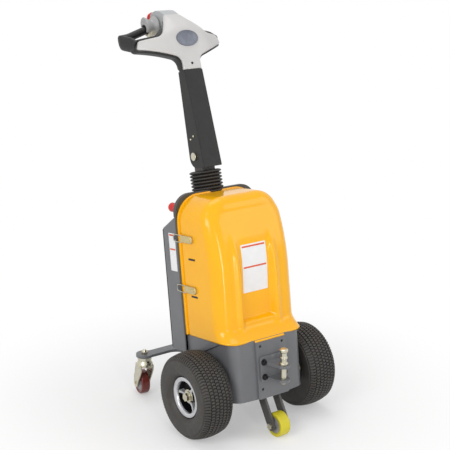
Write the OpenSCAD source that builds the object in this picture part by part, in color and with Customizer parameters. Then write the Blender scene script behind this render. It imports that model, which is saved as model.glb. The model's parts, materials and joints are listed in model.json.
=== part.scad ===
// Electric tugger: a battery drive unit that is steered and tilted by hand at its tiller.
// The hitch faces -Y and the operator stands at +Y. The origin is on the floor, in the middle of the box.

/* [Place] */
// Place of the drive axle along Y
axle_y = -163.45; // [-180:0.05:-140]
// Lean of the body about the drive axle, in degrees
body_lean = 7.2; // [4:0.1:9]

/* [Drive wheels] */
// Outer diameter of the drive tyres
tyre_d = 270; // [262:1:276]
// Width of the drive tyres
tyre_w = 106; // [100:1:110]
// Distance between the middles of the drive tyres
track = 406; // [402:1:430]
// Radius of the tyre's round shoulders
shoulder_r = 26; // [20:1:28]
// Radius of the tyre's crown, seen in section
crown_r = 150; // [120:5:300]
// Width of the grooves round the tread
groove_w = 5; // [3:0.5:7]
// Depth of the grooves round the tread
groove_depth = 5; // [3:0.5:7]
// Distance between the grooves round the tread
groove_pitch = 21; // [18:0.5:22]
// Diameter of the tyre's seat on the rim
rim_seat_d = 116; // [108:1:122]
// Width of the rim between its lips
rim_w = 66; // [56:1:72]
// Height of the rim's lips over the tyre's seat
lip_h = 5; // [3:0.5:7]
// Thickness of the rim's barrel and lips
rim_t = 6; // [4:0.5:8]
// Thickness of the rim's spoked disc
web_t = 12; // [8:1:16]
// Place of the spoked disc, outboard of the tyre's middle
web_offset = 12; // [6:1:18]
// Diameter of the round cuts that leave the spokes
window_d = 24; // [18:1:26]
// Number of spokes
spokes = 3; // [3:1:5]
// Diameter of the wheel hub
hub_d = 44; // [40:1:46]
// How far the hub stands outboard of the tyre's middle
hub_reach = 33; // [30:1:36]
// How far the hub runs inboard of the tyre's middle
hub_inner = 10; // [5:1:15]
// Diameter of the axle shafts
shaft_d = 25; // [20:1:30]

/* [Transaxle] */
// Outer diameter of the axle tubes
axle_tube_d = 44; // [40:1:46]
// Distance between the ends of the axle tubes
axle_tube_span = 312; // [300:1:320]
// Diameter of the gear case
gear_case_d = 112; // [100:1:120]
// Width of the gear case
gear_case_w = 84; // [70:1:100]
// Diameter of the drive motor
motor_d = 98; // [80:1:104]

/* [Chassis] */
// Half width of the flat front, which the hitch plate covers
front_half = 58; // [54:1:62]
// Half width at the swept front corners
corner_half = 132; // [128:1:134]
// Half width of the tub at its rear
tub_half = 137; // [134:1:139]
// Half width of the side shoulders under the cover
shoulder_half = 142; // [140:0.5:142.5]
// Reach of the flat front from the axle
front_reach = 120; // [116:1:124]
// Reach of the swept front corners from the axle
corner_reach = 109; // [105:1:112]
// Reach of the rear wall from the axle
rear_reach = 115; // [112:1:120]
// Radius of the tub's front corners
tub_corner_r = 35; // [24:1:44]
// Height of the tub's lower edge from the axle
tub_low = -27; // [-30:1:-24]
// Height of the tub's upper edge from the axle
tub_top = 158; // [154:1:162]
// Thickness of the tub's walls
tub_wall = 8; // [6:0.5:10]
// Height of the battery deck from the axle
deck_top = 96; // [92:1:100]
// Thickness of the battery deck
deck_t = 6; // [4:0.5:8]

/* [Hitch] */
// Thickness of the hitch plate
plate_t = 7; // [5:0.5:9]
// Diameter of the free mounting holes in the hitch plate
adapter_hole_d = 9; // [8:0.5:11]
// Half of the distance across between the free mounting holes
adapter_half = 42; // [40:0.5:45]
// Height of the lower free mounting holes from the axle
adapter_low = 3; // [0:1:6]
// Height of the upper free mounting holes from the axle
adapter_high = 138; // [134:1:142]
// Half width of the clevis base
clevis_half = 50; // [46:1:54]
// Thickness of the clevis base
clevis_base_t = 8; // [6:0.5:10]
// Thickness of the clevis tongues
tongue_t = 8; // [6:0.5:10]
// Height of the lower tongue's underside from the axle
tongue_low = 51; // [47:1:55]
// Height of the upper tongue's underside from the axle
tongue_high = 97; // [93:1:101]
// Reach of the hitch pin from the axle
pin_reach = 170; // [166:1:176]
// Diameter of the hitch pin
pin_d = 19; // [16:0.5:22]

/* [Front roller] */
// Diameter of the front roller
roller_d = 76; // [70:1:84]
// Width of the front roller
roller_w = 36; // [32:1:44]
// Reach of the roller from the drive axle
roller_reach = 150; // [146:1:156]
// Thickness of the roller fork's arms
fork_arm_t = 8; // [6:0.5:10]
// Radius of the roller fork's round ends
fork_end_r = 16; // [14:1:18]
// Diameter of the roller's axle bolt
roller_axle_d = 12; // [10:0.5:14]

/* [Casters] */
// Half of the distance between the caster stems
stem_half = 175; // [165:1:180]
// Reach of the caster stems behind the drive axle
stem_reach = 337; // [330:1:345]
// Floor to the top of the caster beam
beam_top = 150; // [146:1:154]
// Thickness of the caster beam
beam_t = 9; // [7:0.5:11]
// Half width of the beam's tongue
beam_half = 52; // [46:1:58]
// Width of the beam's cross arms
arm_w = 38; // [34:1:42]
// Radius of the beam's round ends
beam_end_r = 28; // [26:1:30]
// Radius of the fillets between tongue and arms
beam_fillet_r = 45; // [35:1:50]
// Diameter of the caster wheels
caster_d = 80; // [74:1:84]
// Width of the caster wheels
caster_w = 29; // [25:1:31]
// Trail of the caster wheels behind their stems
caster_trail = 28; // [24:1:32]
// Rest angle of the casters about their stems, in degrees
caster_yaw = 10; // [0:1:40]
// Diameter of the caster stems
stem_d = 12; // [10:0.5:14]
// Radius of the caster fork's ends, round the wheel's axle
leg_end_r = 16; // [13:1:18]
// Diameter of the caster fork's domed crown
crown_d = 54; // [50:1:56]
// Thickness of the caster fork's sheet
fork_t = 3.5; // [3:0.5:5]

/* [Cover] */
// Half width of the cover at its rear edge
cover_half = 152; // [150:1:154]
// Height of the cover's top from the axle
cover_top = 593; // [588:1:596]
// Radius of the cover's upper rear corners
cover_corner_r = 82; // [76:1:88]
// Width of the cover's rear flange
flange_w = 13; // [10:1:16]
// Step from the flange down to the cover's body
flange_step = 3; // [2:0.5:4]
// Reach of the cover's front face from the axle
cover_reach = 80; // [76:1:84]
// Reach of the cover's lower lip from the axle
lip_reach = 118; // [112:1:119]
// Half width of the lip's tab over the hitch plate
tab_half = 56; // [50:1:58]
// Drop of the tab below the lip
tab_drop = 6; // [4:0.5:8]
// Radius of the cover's upright front corners
cover_edge_r = 45; // [38:1:48]
// Height of the flared lip
flare_h = 38; // [32:1:44]
// Thickness of the cover's wall
cover_wall = 6; // [5:0.5:7]
// Half width of the recess in the front face
recess_half = 72; // [64:1:78]
// Depth of the recess at its foot
recess_depth = 9; // [6:0.5:10]
// Height of the recess's foot from the axle
recess_low = 218; // [210:1:226]
// Height of the recess's head from the axle
recess_high = 462; // [454:1:470]

/* [Rear housing] */
// Thickness of the arch plate
arch_t = 8; // [6:0.5:10]
// Radius of the arch plate's upper corners
arch_corner_r = 56; // [50:1:62]
// Depth of the hood behind the arch plate, over the housing
hood_depth = 5; // [4:0.5:8]
// Half width of the arch plate
arch_half = 154; // [153:0.5:156]
// Height of the arch plate's top from the axle
arch_top = 597; // [597:0.5:600]
// Depth of the rear housing
housing_depth = 74; // [68:1:80]
// Half width of the rear housing
housing_half = 152; // [146:1:154]
// Height of the housing's lower edge from the axle
housing_low = 98; // [94:1:102]
// Height of the housing's top under the hood
housing_high = 528; // [522:1:532]
// Fall of the housing's top from the hood to the rear
housing_fall = 40; // [34:1:44]
// Thickness of the housing's walls
housing_wall = 5; // [4:0.5:6]
// Thickness of the rear panel
panel_t = 4; // [3:0.5:5]
// Half width of the dash box
dash_half = 104; // [100:1:106]
// Step from the hood down to the dash box's top
dash_drop = 11; // [8:1:14]
// Radius of the dash box's upper corners
dash_corner_r = 76; // [66:1:78]
// Depth of the dash box
dash_depth = 74; // [70:1:78]

/* [Tiller] */
// Lean of the tiller, in degrees
tiller_lean = 20; // [18:0.5:22]
// Reach of the tiller's pivot behind the axle
pivot_y = 245; // [242:1:248]
// Height of the tiller's pivot from the axle
pivot_up = 674; // [671:1:679]
// Diameter of the pivot bolt
pivot_d = 16; // [12:0.5:18]
// Width of the tiller column
column_w = 66; // [64:1:70]
// Pivot to the front face of the column
column_front = 45.5; // [44:0.5:48]
// Pivot to the top of the column
column_top = 268; // [262:1:272]
// Thickness of the column's sheet
column_wall = 4; // [3:0.5:4]
// Width of the tiller post
post_w = 48; // [44:1:48]
// Outer diameter of the bellows
bellows_d = 94; // [90:1:98]
// Number of folds in the bellows
folds = 6; // [5:1:7]

/* [Tiller head] */
// Half width of the head's flat face
face_half = 46; // [44:0.5:50]
// Reach of the head's wings to each side
wing_reach = 157; // [150:1:160]
// Sweep of the wings behind the flat face, in degrees
wing_sweep = 23; // [20:0.5:26]
// Pivot to the root of the wings' lower edge
wing_root = 308; // [304:1:312]
// Pivot to the tips of the wings' lower edge
wing_low = 353.5; // [350:0.5:357]
// Pivot to the wings' upper edge
wing_high = 382.5; // [379:0.5:386]
// Pivot to the top of the head
head_top = 471; // [468:1:474]
// Half width of the cap over the throttle
cap_half = 27; // [24:1:30]
// Reach of the head's cap behind the pivot
cap_back = 54; // [50:1:58]
// Depth of the head's white cover
head_t = 9; // [7:0.5:12]
// Depth of the head's black base behind its cover
base_t = 36; // [32:1:38]
// Step from the cover's edge out to the base's edge
base_step = 5; // [3:0.5:7]
// Width of the oval disc on the flat face
disc_wide = 80; // [70:1:86]
// Height of the oval disc
disc_high = 52; // [44:1:56]
// Pivot to the middle of the oval disc
disc_w = 367; // [350:1:372]
// Thickness of the oval disc
disc_t = 3; // [2:0.5:4]

/* [Throttle and grips] */
// Half length of the throttle drum
drum_half = 58; // [54:1:62]
// Diameter of the throttle drum
drum_d = 50; // [46:1:52]
// Reach of the throttle drum behind the pivot
drum_back = 82; // [80:1:84]
// Pivot to the height of the throttle drum
drum_up = 432; // [430:1:434]
// Half width of the throttle's middle housing
throttle_half = 26; // [24:1:28]
// Reach of the middle housing behind the pivot
throttle_back = 112; // [110:1:114]
// Fall from the head's top to the throttle's lower edge
throttle_drop = 41; // [38:1:44]
// Fall from the head's top to the throttle's belly
throttle_belly = 59; // [56:1:62]
// Length of a throttle paddle
paddle_len = 54; // [50:1:58]
// Reach of a throttle paddle past the drum's middle
paddle_back = 34; // [30:1:38]
// Diameter of the hand grips
grip_d = 28; // [24:1:30]
// Reach of the grip loops' corners to each side
loop_reach = 151; // [147:1:153]
// Reach of the grip loops' corners behind the pivot
loop_back = 103; // [102:1:108]
// Pivot to the height of the grip loops' corners
loop_up = 403; // [400:1:406]
// Radius of the loops' round corners, seen from the side
loop_r = 17; // [15:1:18]
// Thickness of the loops' side bars
side_bar_t = 20; // [20:1:26]

/* [Battery] */
// Half width of the battery pack
battery_half = 112; // [100:1:116]
// Reach of the battery pack before the axle
battery_front = 56; // [50:1:58]
// Reach of the battery pack behind the axle
battery_back = 98; // [90:1:100]
// Height of the battery pack
battery_h = 210; // [190:1:220]

/* [Latches] */
// Axle to the height of the lower latches
latch_low = 307; // [300:1:314]
// Axle to the height of the upper latches
latch_high = 465; // [458:1:472]
// Reach of a latch's rear end behind the axle
latch_end = 90; // [86:1:94]
// Length of a latch
latch_len = 60; // [54:1:66]
// Half height of a latch
latch_half = 11; // [9:0.5:13]
// Diameter of a latch's wire
wire_d = 3; // [2.5:0.5:4]

/* [Hidden] */
$fn = 64;

// Clearances: seats, running fits and the room that cuts need past a face
seat_gap = 0.2;
run_gap = 0.3;
cut_past = 1;

// Places along the body, from the axle
tyre_r = tyre_d / 2;
axle_z = tyre_r;
rim_r = rim_seat_d / 2;
plate_front = front_reach + plate_t;
plate_top = tub_top - tab_drop;
clevis_front = plate_front + clevis_base_t;
arch_back = rear_reach;
arch_front = arch_back - arch_t;
hood_back = arch_back + hood_depth;
housing_back = arch_back + housing_depth;
housing_rear_top = housing_high - housing_fall;
panel_back = housing_back + panel_t;
dash_back = hood_back + dash_depth;
dash_edge = 5;
dash_top = arch_top - dash_drop;
control_z = dash_top - 45;
cover_rear = arch_front - seat_gap;
cover_low = tub_top + seat_gap;
body_half = cover_half - flange_step;

// Front roller and casters, from the floor
arm_gap = roller_w / 2 + 5;
arm_out = arm_gap + fork_arm_t;
roller_z = roller_d / 2;
roller_core_d = roller_d - 24;
arm_mid = stem_reach - 6;
beam_low = beam_top - beam_t;
crown_low = caster_d + 28;
crown_high = beam_low - 12;
leg_in = caster_w / 2 + 5;
leg_out = leg_in + fork_t;
caster_axle_d = 8;
caster_core_d = caster_d - 22;

// Latches and the slots under them
latch_heights = [latch_low, latch_high];
slot_heights = [286, 403];
wire_in = max(arch_half, housing_half) + 1;
latch_face = max(body_half + 6, wire_in);
keeper_y = [arch_back + 4, arch_back + 9];
wire_end = keeper_y[1] + seat_gap + wire_d;

// Tiller post, bellows, column and head, from the pivot
post_reach = 145;
bellows_h = 62;
bellows_lean = 14.5;
bellows_sunk = 15;
heel = [-5, -5];
heel_r = 32.5;
column_low = -42;
column_back_low = 27.5;
column_back_high = -7;
foot_half = column_w / 2;
head_front = column_front - 0.5;
head_foot = column_top + seat_gap;
cover_back = head_t - head_front;
sheet_top = wing_high + 29;
loop_corner = [loop_reach, loop_back, loop_up];

// Frames: the floor under the axle, the axle, the leaned body and the leaned tiller
module floor_frame() translate([0, axle_y, 0]) children();
module axle_frame() translate([0, axle_y, axle_z]) children();
module body_frame() axle_frame() rotate([-body_lean, 0, 0]) children();
module tiller_frame() axle_frame() translate([0, pivot_y, pivot_up]) rotate([-tiller_lean, 0, 0]) children();

// Places a side outline, drawn as (Y, Z), between two places along X
module across(x0, x1) translate([x0, 0, 0]) rotate([90, 0, 90]) linear_extrude(x1 - x0) children();
// Places a front outline, drawn as (X, Z), between two places along Y
module along_y(y0, y1) translate([0, y1, 0]) rotate([90, 0, 0]) linear_extrude(y1 - y0) children();
// Draws its children on both sides of the middle plane
module both_sides() for (side = [0, 1]) mirror([side, 0, 0]) children();
// Draws its children above and below the XY plane
module both_ends() for (side = [0, 1]) mirror([0, 0, side]) children();
// Turns a cylinder or revolved shape to lie along X
module on_x() rotate([0, 90, 0]) children();
// Turns a cylinder or revolved shape to point along +Y
module on_y() rotate([-90, 0, 0]) children();
// A box from its two opposite corners
module block(low, high) translate(low) cube(high - low);
// A round bar between two points
module bar(a, b, r) {
    run = b - a;
    translate(a) rotate([0, acos(run[2] / norm(run)), atan2(run[1], run[0])]) cylinder(r = r, h = norm(run));
}
// An outline with round upper corners, drawn as (X, Z)
module arch_outline(half, low, top, r) {
    translate([-half, low]) square([2 * half, top - r - low]);
    translate([-half + r, low]) square([2 * (half - r), top - low]);
    for (side = [-1, 1]) translate([side * (half - r), top - r]) circle(r);
}
// A rectangle with four round corners, from its lowest to its highest corner
module round_rect(low, high, r) {
    translate([low[0] + r, low[1]]) square([high[0] - low[0] - 2 * r, high[1] - low[1]]);
    translate([low[0], low[1] + r]) square([high[0] - low[0], high[1] - low[1] - 2 * r]);
    for (x = [low[0] + r, high[0] - r], y = [low[1] + r, high[1] - r]) translate([x, y]) circle(r);
}
// The right half of an outline and its mirror image, as one closed list
function mirrored(right) = concat(
    right, [for (k = [len(right) - 1:-1:0]) [-right[k][0], right[k][1], right[k][2]]]
);
function unit(p) = p / norm(p);
function place(p) = [p[0], p[1]];
function turned(p, a) = [p[0] * cos(a) - p[1] * sin(a), p[0] * sin(a) + p[1] * cos(a)];
// The arc that rounds the corner c between a and b
function arc_points(a, c, b, r) = let (
    u = unit(a - c),
    v = unit(b - c),
    half = acos(u * v) / 2,
    middle = c + unit(u + v) * r / sin(half),
    start = c + u * r / tan(half) - middle,
    sweep = (180 - 2 * half) * sign(u[1] * v[0] - u[0] * v[1]),
    steps = ceil(abs(sweep) / 6)
) [for (k = [0:steps]) middle + turned(start, sweep * k / steps)];
// A closed outline with each corner rounded to its own radius. Columns: X, Y, radius
module rounded(points) {
    n = len(points);
    flat = [for (p = points) place(p)];
    polygon([for (k = [0:n - 1]) each
        points[k][2] > 0
            ? arc_points(flat[(k + n - 1) % n], flat[k], flat[(k + 1) % n], points[k][2])
            : [flat[k]]
    ]);
}

// Drive wheels, drawn along Z with the outboard side up
module tyre_section() {
    half = tyre_w / 2;
    difference() {
        intersection() {
            union() {
                translate([rim_r, -half + shoulder_r]) square([tyre_r - rim_r, tyre_w - 2 * shoulder_r]);
                translate([rim_r + shoulder_r, -half]) square([tyre_r - rim_r - 2 * shoulder_r, tyre_w]);
                for (r = [rim_r + shoulder_r, tyre_r - shoulder_r], side = [-1, 1])
                    translate([r, side * (half - shoulder_r)]) circle(shoulder_r);
            }
            translate([tyre_r - crown_r, 0]) circle(crown_r);
        }
        for (k = [-1.5:1:1.5])
            translate([tyre_r - groove_depth, k * groove_pitch - groove_w / 2])
                square([2 * groove_depth, groove_w]);
        for (side = [0, 1]) mirror([0, side])
            translate([0, rim_w / 2]) square([rim_r + lip_h + seat_gap, tyre_w]);
    }
}
module rim_section() {
    seat = rim_w / 2;
    face = seat + rim_t;
    bore = rim_r - rim_t;
    lip = rim_r + lip_h;
    polygon([
        [bore, -face], [lip, -face], [lip, -seat], [rim_r, -seat],
        [rim_r, seat], [lip, seat], [lip, face], [bore, face]
    ]);
    translate([hub_d / 2, web_offset - web_t / 2]) square([bore + rim_t / 2 - hub_d / 2, web_t]);
}
// Round cuts, three side by side between each two spokes
module spoke_windows() {
    window_r = (hub_d / 2 + rim_r - rim_t) / 2;
    spoke_half_angle = 17;
    spread = max(0, 180 / spokes - spoke_half_angle - asin(window_d / 2 / window_r));
    for (k = [0:spokes - 1], step = [-1, 0, 1])
        rotate([0, 0, 180 / spokes + 360 / spokes * k + step * spread])
            translate([window_r, 0, web_offset - web_t / 2 - cut_past])
                cylinder(d = window_d, h = web_t + 2 * cut_past);
}
module wheel_place(side) translate([side * track / 2, axle_y, axle_z]) rotate([0, side * 90, 0]) children();
module drive_tyre(side) color("dimgray") wheel_place(side) rotate_extrude() tyre_section();
module drive_rim(side) color("silver") wheel_place(side) difference() {
    rotate_extrude() rim_section();
    spoke_windows();
}
module drive_hub(side) color("lightgray") wheel_place(side) {
    shaft_end = track / 2 - gear_case_w / 2 - 30;
    cap_t = 6;
    nut_d = 26;
    translate([0, 0, -hub_inner]) cylinder(d = hub_d, h = hub_inner + hub_reach - cap_t);
    translate([0, 0, hub_reach - cap_t]) cylinder(d = hub_d - 10, h = cap_t - 2);
    translate([0, 0, hub_reach - 2]) cylinder(d = nut_d, h = 10, $fn = 6);
    translate([0, 0, -shaft_end]) cylinder(d = shaft_d, h = shaft_end - hub_inner);
}

// Gear case, axle tubes and motor under the battery deck
module transaxle() color("darkgray") body_frame() difference() {
    union() {
        on_x() cylinder(d = gear_case_d, h = gear_case_w, center = true);
        on_x() cylinder(d = gear_case_d - 24, h = gear_case_w + 28, center = true);
        on_x() cylinder(d = axle_tube_d, h = axle_tube_span, center = true);
        on_y() cylinder(d = motor_d, h = rear_reach - tub_wall - 4);
    }
    both_sides() translate([gear_case_w / 2 + 20, 0, 0]) on_x()
        cylinder(d = shaft_d + 2 * run_gap, h = axle_tube_span);
}

// Plan of the tub: flat front, swept round corners and slightly flared sides
module tub_plan(inset) rounded(mirrored([
    [front_half - inset / 2, -front_reach + inset, 0],
    [corner_half - inset, -corner_reach + inset, tub_corner_r - inset],
    [tub_half - inset, rear_reach - inset, 0]
]));
module chassis_tub() color("gray") body_frame() difference() {
    union() {
        translate([0, 0, tub_low]) linear_extrude(tub_top - tub_low) tub_plan(0);
        both_sides() tub_shoulder();
        both_sides() translate([corner_half - tub_wall - 2, 0, 0]) on_x()
            cylinder(d = axle_tube_d + 32, h = tub_wall + 4);
    }
    translate([0, 0, tub_low - 20]) linear_extrude(deck_top - deck_t - tub_low + 20) tub_plan(tub_wall);
    translate([0, 0, deck_top]) linear_extrude(tub_top) tub_plan(tub_wall);
    on_x() cylinder(d = axle_tube_d + 2 * seat_gap, h = 2 * track, center = true);
}
// Side shoulder under the cover, with a slanted lower edge over the tyre
module tub_shoulder() intersection() {
    across(corner_half - tub_wall, shoulder_half) polygon([
        [-66, tub_top], [10, tub_top - 33], [rear_reach, tub_top - 78], [rear_reach, tub_top]
    ]);
    translate([0, 0, tub_low]) linear_extrude(tub_top - tub_low) polygon([
        [0, -100], [corner_half - 2, -90], [shoulder_half, -30], [shoulder_half, rear_reach], [0, rear_reach]
    ]);
}

// Hitch: a plate with free holes, a clevis on it and a lift-out pin
module adapter_holes() {
    for (x = [-adapter_half, adapter_half], z = [adapter_low, adapter_high])
        translate([x, -plate_front - cut_past, z]) on_y()
            cylinder(d = adapter_hole_d, h = plate_t + 2 * cut_past);
}
module hitch_plate() color("gray") body_frame() difference() {
    along_y(-plate_front, -front_reach) round_rect([-front_half, tub_low], [front_half, plate_top], 4);
    adapter_holes();
}
module tongue_plan() {
    nose_r = pin_d / 2 + 11;
    root_half = clevis_half - 6;
    translate([0, -pin_reach]) circle(nose_r);
    polygon([[-root_half, -90], [root_half, -90], [nose_r, -pin_reach], [-nose_r, -pin_reach]]);
}
module hitch_clevis() color("dimgray") difference() {
    union() {
        body_frame() along_y(-clevis_front, -plate_front)
            round_rect([-clevis_half, tongue_low - 23], [clevis_half, tongue_high + tongue_t + 1], 8);
        axle_frame() for (z = [tongue_low, tongue_high])
            translate([0, 0, z]) linear_extrude(tongue_t) tongue_plan();
    }
    body_frame() block([-2 * clevis_half, -plate_front, tub_low], [2 * clevis_half, 0, tub_top]);
    axle_frame() translate([0, -pin_reach, tongue_low - cut_past])
        cylinder(d = pin_d + 2 * run_gap, h = tongue_high - tongue_low + tongue_t + 2 * cut_past);
}
module hitch_pin() color("silver") axle_frame() translate([0, -pin_reach, 0]) {
    seat = tongue_high + tongue_t + run_gap;
    tip = tongue_low - 8;
    r = pin_d / 2;
    rotate_extrude() polygon([
        [0, tip], [r - 2, tip], [r, tip + 3], [r, seat], [r + 4, seat],
        [r + 4, seat + 5], [r, seat + 8], [r, seat + 18], [r + 2.5, seat + 20], [r + 2.5, seat + 24],
        [r, seat + 26], [r, seat + 38], [r + 4, seat + 42], [r + 4, seat + 48], [r, seat + 51], [0, seat + 51]
    ]);
}

// Front roller on a fork that is fixed behind the front wall
module roller_place() floor_frame() translate([0, -roller_reach, roller_z]) on_x() children();
module roller_fork() color("dimgray") difference() {
    union() {
        floor_frame() both_sides() across(arm_gap, arm_out) {
            translate([-roller_reach, roller_z]) circle(fork_end_r);
            polygon([
                [-roller_reach - fork_end_r + 1, roller_z + 6],
                [-roller_reach + fork_end_r - 3, roller_z - 9],
                [-front_reach + 44, axle_z - 7], [-front_reach + 44, axle_z + 30],
                [-front_reach + 8, axle_z + 30], [-front_reach + 5, axle_z - 11]
            ]);
        }
        body_frame() block(
            [-arm_out + 2, -front_reach + tub_wall, -18], [arm_out - 2, -front_reach + tub_wall + 8, 30]
        );
    }
    body_frame() block(
        [-2 * arm_out, -2 * front_reach, tub_low - seat_gap], [2 * arm_out, -front_reach + tub_wall, tub_top]
    );
    roller_place() cylinder(d = roller_axle_d + 2 * seat_gap, h = 4 * arm_out, center = true);
}
module roller_axle() color("silver") roller_place() {
    cylinder(d = roller_axle_d, h = 2 * arm_out + 10, center = true);
    both_ends() translate([0, 0, arm_out + seat_gap]) cylinder(d = roller_axle_d + 8, h = 7, $fn = 6);
}
module roller_core() color("dimgray") roller_place() difference() {
    union() {
        cylinder(d = roller_core_d, h = roller_w - 2, center = true);
        cylinder(d = roller_axle_d + 10, h = 2 * arm_gap - 2 * run_gap, center = true);
    }
    cylinder(d = roller_axle_d + 2 * run_gap, h = 4 * roller_w, center = true);
}
module roller_tread() color("gold") roller_place() rotate_extrude() difference() {
    round_rect([0, -roller_w / 2], [roller_d / 2, roller_w / 2], 4);
    translate([-roller_d, -roller_w]) square([roller_d + roller_core_d / 2, 2 * roller_w]);
}

// Battery block on its deck
module battery_block() color("dimgray") body_frame()
    block([-battery_half, -battery_front, deck_top], [battery_half, battery_back, deck_top + battery_h]);

// Arch plate behind the cover, with a shallow hood over the housing
module bulkhead() color("dimgray") body_frame() {
    along_y(arch_front, arch_back) arch_outline(arch_half, cover_low, arch_top, arch_corner_r);
    intersection() {
        along_y(arch_front, hood_back) arch_outline(arch_half, cover_low, arch_top, arch_corner_r);
        block([-arch_half, 0, housing_high + seat_gap], [arch_half, 2 * hood_back, 2 * arch_top]);
    }
}

// Rear housing with a sloped top, open to the arch plate and the rear panel, with keepers for the latches
module rear_housing() color("gray") body_frame() {
    inner = housing_half - housing_wall;
    roof = 2 * housing_wall;
    difference() {
        across(-housing_half, housing_half) polygon([
            [arch_back, housing_low], [housing_back, housing_low], [housing_back, housing_rear_top],
            [hood_back, housing_high], [arch_back, housing_high]
        ]);
        across(-inner, inner) polygon([
            [arch_back - cut_past, housing_low + housing_wall],
            [housing_back + cut_past, housing_low + housing_wall],
            [housing_back + cut_past, housing_rear_top - roof], [hood_back, housing_high - roof],
            [arch_back - cut_past, housing_high - roof]
        ]);
    }
    both_sides() for (z = latch_heights)
        block([inner, keeper_y[0], z - 6], [wire_in + wire_d + 1, keeper_y[1], z + 6]);
}
module rear_panel() color("black") body_frame() along_y(housing_back + seat_gap, panel_back)
    round_rect([-housing_half, housing_low + 2], [housing_half, housing_rear_top - 2], 6);

// Dash box that carries the post and the operator's controls
module dash_outline(inset)
    arch_outline(dash_half - inset, housing_low, dash_top - inset, dash_corner_r - inset);
module dash_box() color("dimgray") body_frame() intersection() {
    hull() {
        along_y(hood_back, dash_back - dash_edge) dash_outline(0);
        along_y(dash_back - dash_edge, dash_back) dash_outline(dash_edge);
    }
    across(-dash_half, dash_half) polygon([
        [hood_back, housing_high + seat_gap], [housing_back, housing_rear_top + seat_gap],
        [dash_back, housing_rear_top + 8], [dash_back, dash_top], [hood_back, dash_top]
    ]);
}
module on_dash(x) body_frame() translate([x, dash_back + seat_gap, control_z]) on_y() children();
module stop_button() color("red") on_dash(-dash_half + 17) rotate_extrude() polygon([
    [0, 0], [10, 0], [10, 12], [11, 17], [13, 22], [15, 28], [15, 33], [13, 37], [9, 39], [0, 40]
]);
module key_switch() color("silver") on_dash(dash_half - 32) {
    cylinder(d = 22, h = 5);
    cylinder(d = 16, h = 9);
}
module charge_gauge() color("black") body_frame() along_y(dash_back + seat_gap, dash_back + 5)
    round_rect([dash_half - 94, control_z - 14], [dash_half - 52, control_z + 14], 5);

// Moulded front cover: a hull of a rear arch and round front edges, flared to a lip at its foot
// Columns: height from the axle, half width at the front, set-back of the front face
cover_sections = [
    [cover_low + flare_h, body_half - 1, 0],
    [cover_top - 143, body_half - 11, 0],
    [cover_top - 52, body_half - 31, 11]
];
module cover_form(inset, front_inset) {
    r = cover_edge_r - inset;
    front = -cover_reach + cover_edge_r + front_inset;
    waist = cover_low + flare_h;
    hull() {
        along_y(cover_rear - 2, cover_rear + inset) arch_outline(
            body_half - inset, waist - inset,
            cover_top - flange_step - inset, cover_corner_r - flange_step - inset
        );
        for (row = cover_sections, side = [-1, 1])
            translate([side * (row[1] - cover_edge_r), front + row[2], row[0]])
                if (row[0] < waist + 1) cylinder(r = r, h = 1, $fn = 32);
                else sphere(r, $fn = 32);
    }
    hull() {
        along_y(cover_rear - 2, cover_rear + inset)
            translate([-body_half + inset, cover_low - inset]) square([2 * (body_half - inset), flare_h + 1]);
        for (side = [-1, 1]) {
            translate([side * (cover_sections[0][1] - cover_edge_r), front, waist])
                cylinder(r = r, h = 1, $fn = 32);
            translate([side * (body_half - cover_edge_r), -lip_reach + cover_edge_r, cover_low - inset])
                cylinder(r = r, h = 8, $fn = 32);
        }
    }
}
// Flange round the rear edge, and the lip's tab in front of the tub
module cover_rim() {
    tab_front = -front_reach - seat_gap - cover_wall + 1;
    along_y(cover_rear - flange_w, cover_rear) arch_outline(cover_half, cover_low, cover_top, cover_corner_r);
    across(-tab_half, tab_half) polygon([
        [tab_front, plate_top + seat_gap], [-front_reach - seat_gap, plate_top + seat_gap],
        [-front_reach - seat_gap, cover_low], [-lip_reach + cover_wall, cover_low],
        [-lip_reach + cover_wall, cover_low + 10], [-lip_reach + 1, cover_low + 10],
        [tab_front, cover_low + 4]
    ]);
}
module cover_recess() intersection() {
    across(-recess_half, recess_half) polygon([
        [-cover_reach + recess_depth, recess_low + 12], [-cover_reach - 20, recess_low - 8],
        [-cover_reach - 20, recess_high + 30], [-cover_reach, recess_high]
    ]);
    along_y(-cover_reach - 40, 0)
        round_rect([-recess_half, recess_low - 20], [recess_half, recess_high + 40], 14);
}
module front_cover() color("goldenrod") body_frame() difference() {
    union() {
        cover_form(0, 0);
        cover_rim();
    }
    cover_form(cover_wall, recess_depth + 2);
    cover_recess();
    for (z = slot_heights) block([-2 * cover_half, 28, z - 3], [2 * cover_half, 64, z + 3]);
}

// Over-centre latches on the cover, with wire bails round the housing's keepers
module latch_levers() color("tan") body_frame() both_sides() difference() {
    across(body_half - 17, latch_face) for (z = latch_heights)
        round_rect([latch_end - latch_len, z - latch_half], [latch_end, z + latch_half], 5);
    cover_form(0, 0);
}
module latch_wires() color("silver") body_frame() both_sides() across(wire_in, wire_in + wire_d)
    for (z = latch_heights) difference() {
        round_rect([latch_end + seat_gap, z - 10], [wire_end, z + 10], 4);
        round_rect([latch_end + wire_d, z - 10 + wire_d], [wire_end - wire_d, z + 10 - wire_d], 2);
    }

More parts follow.
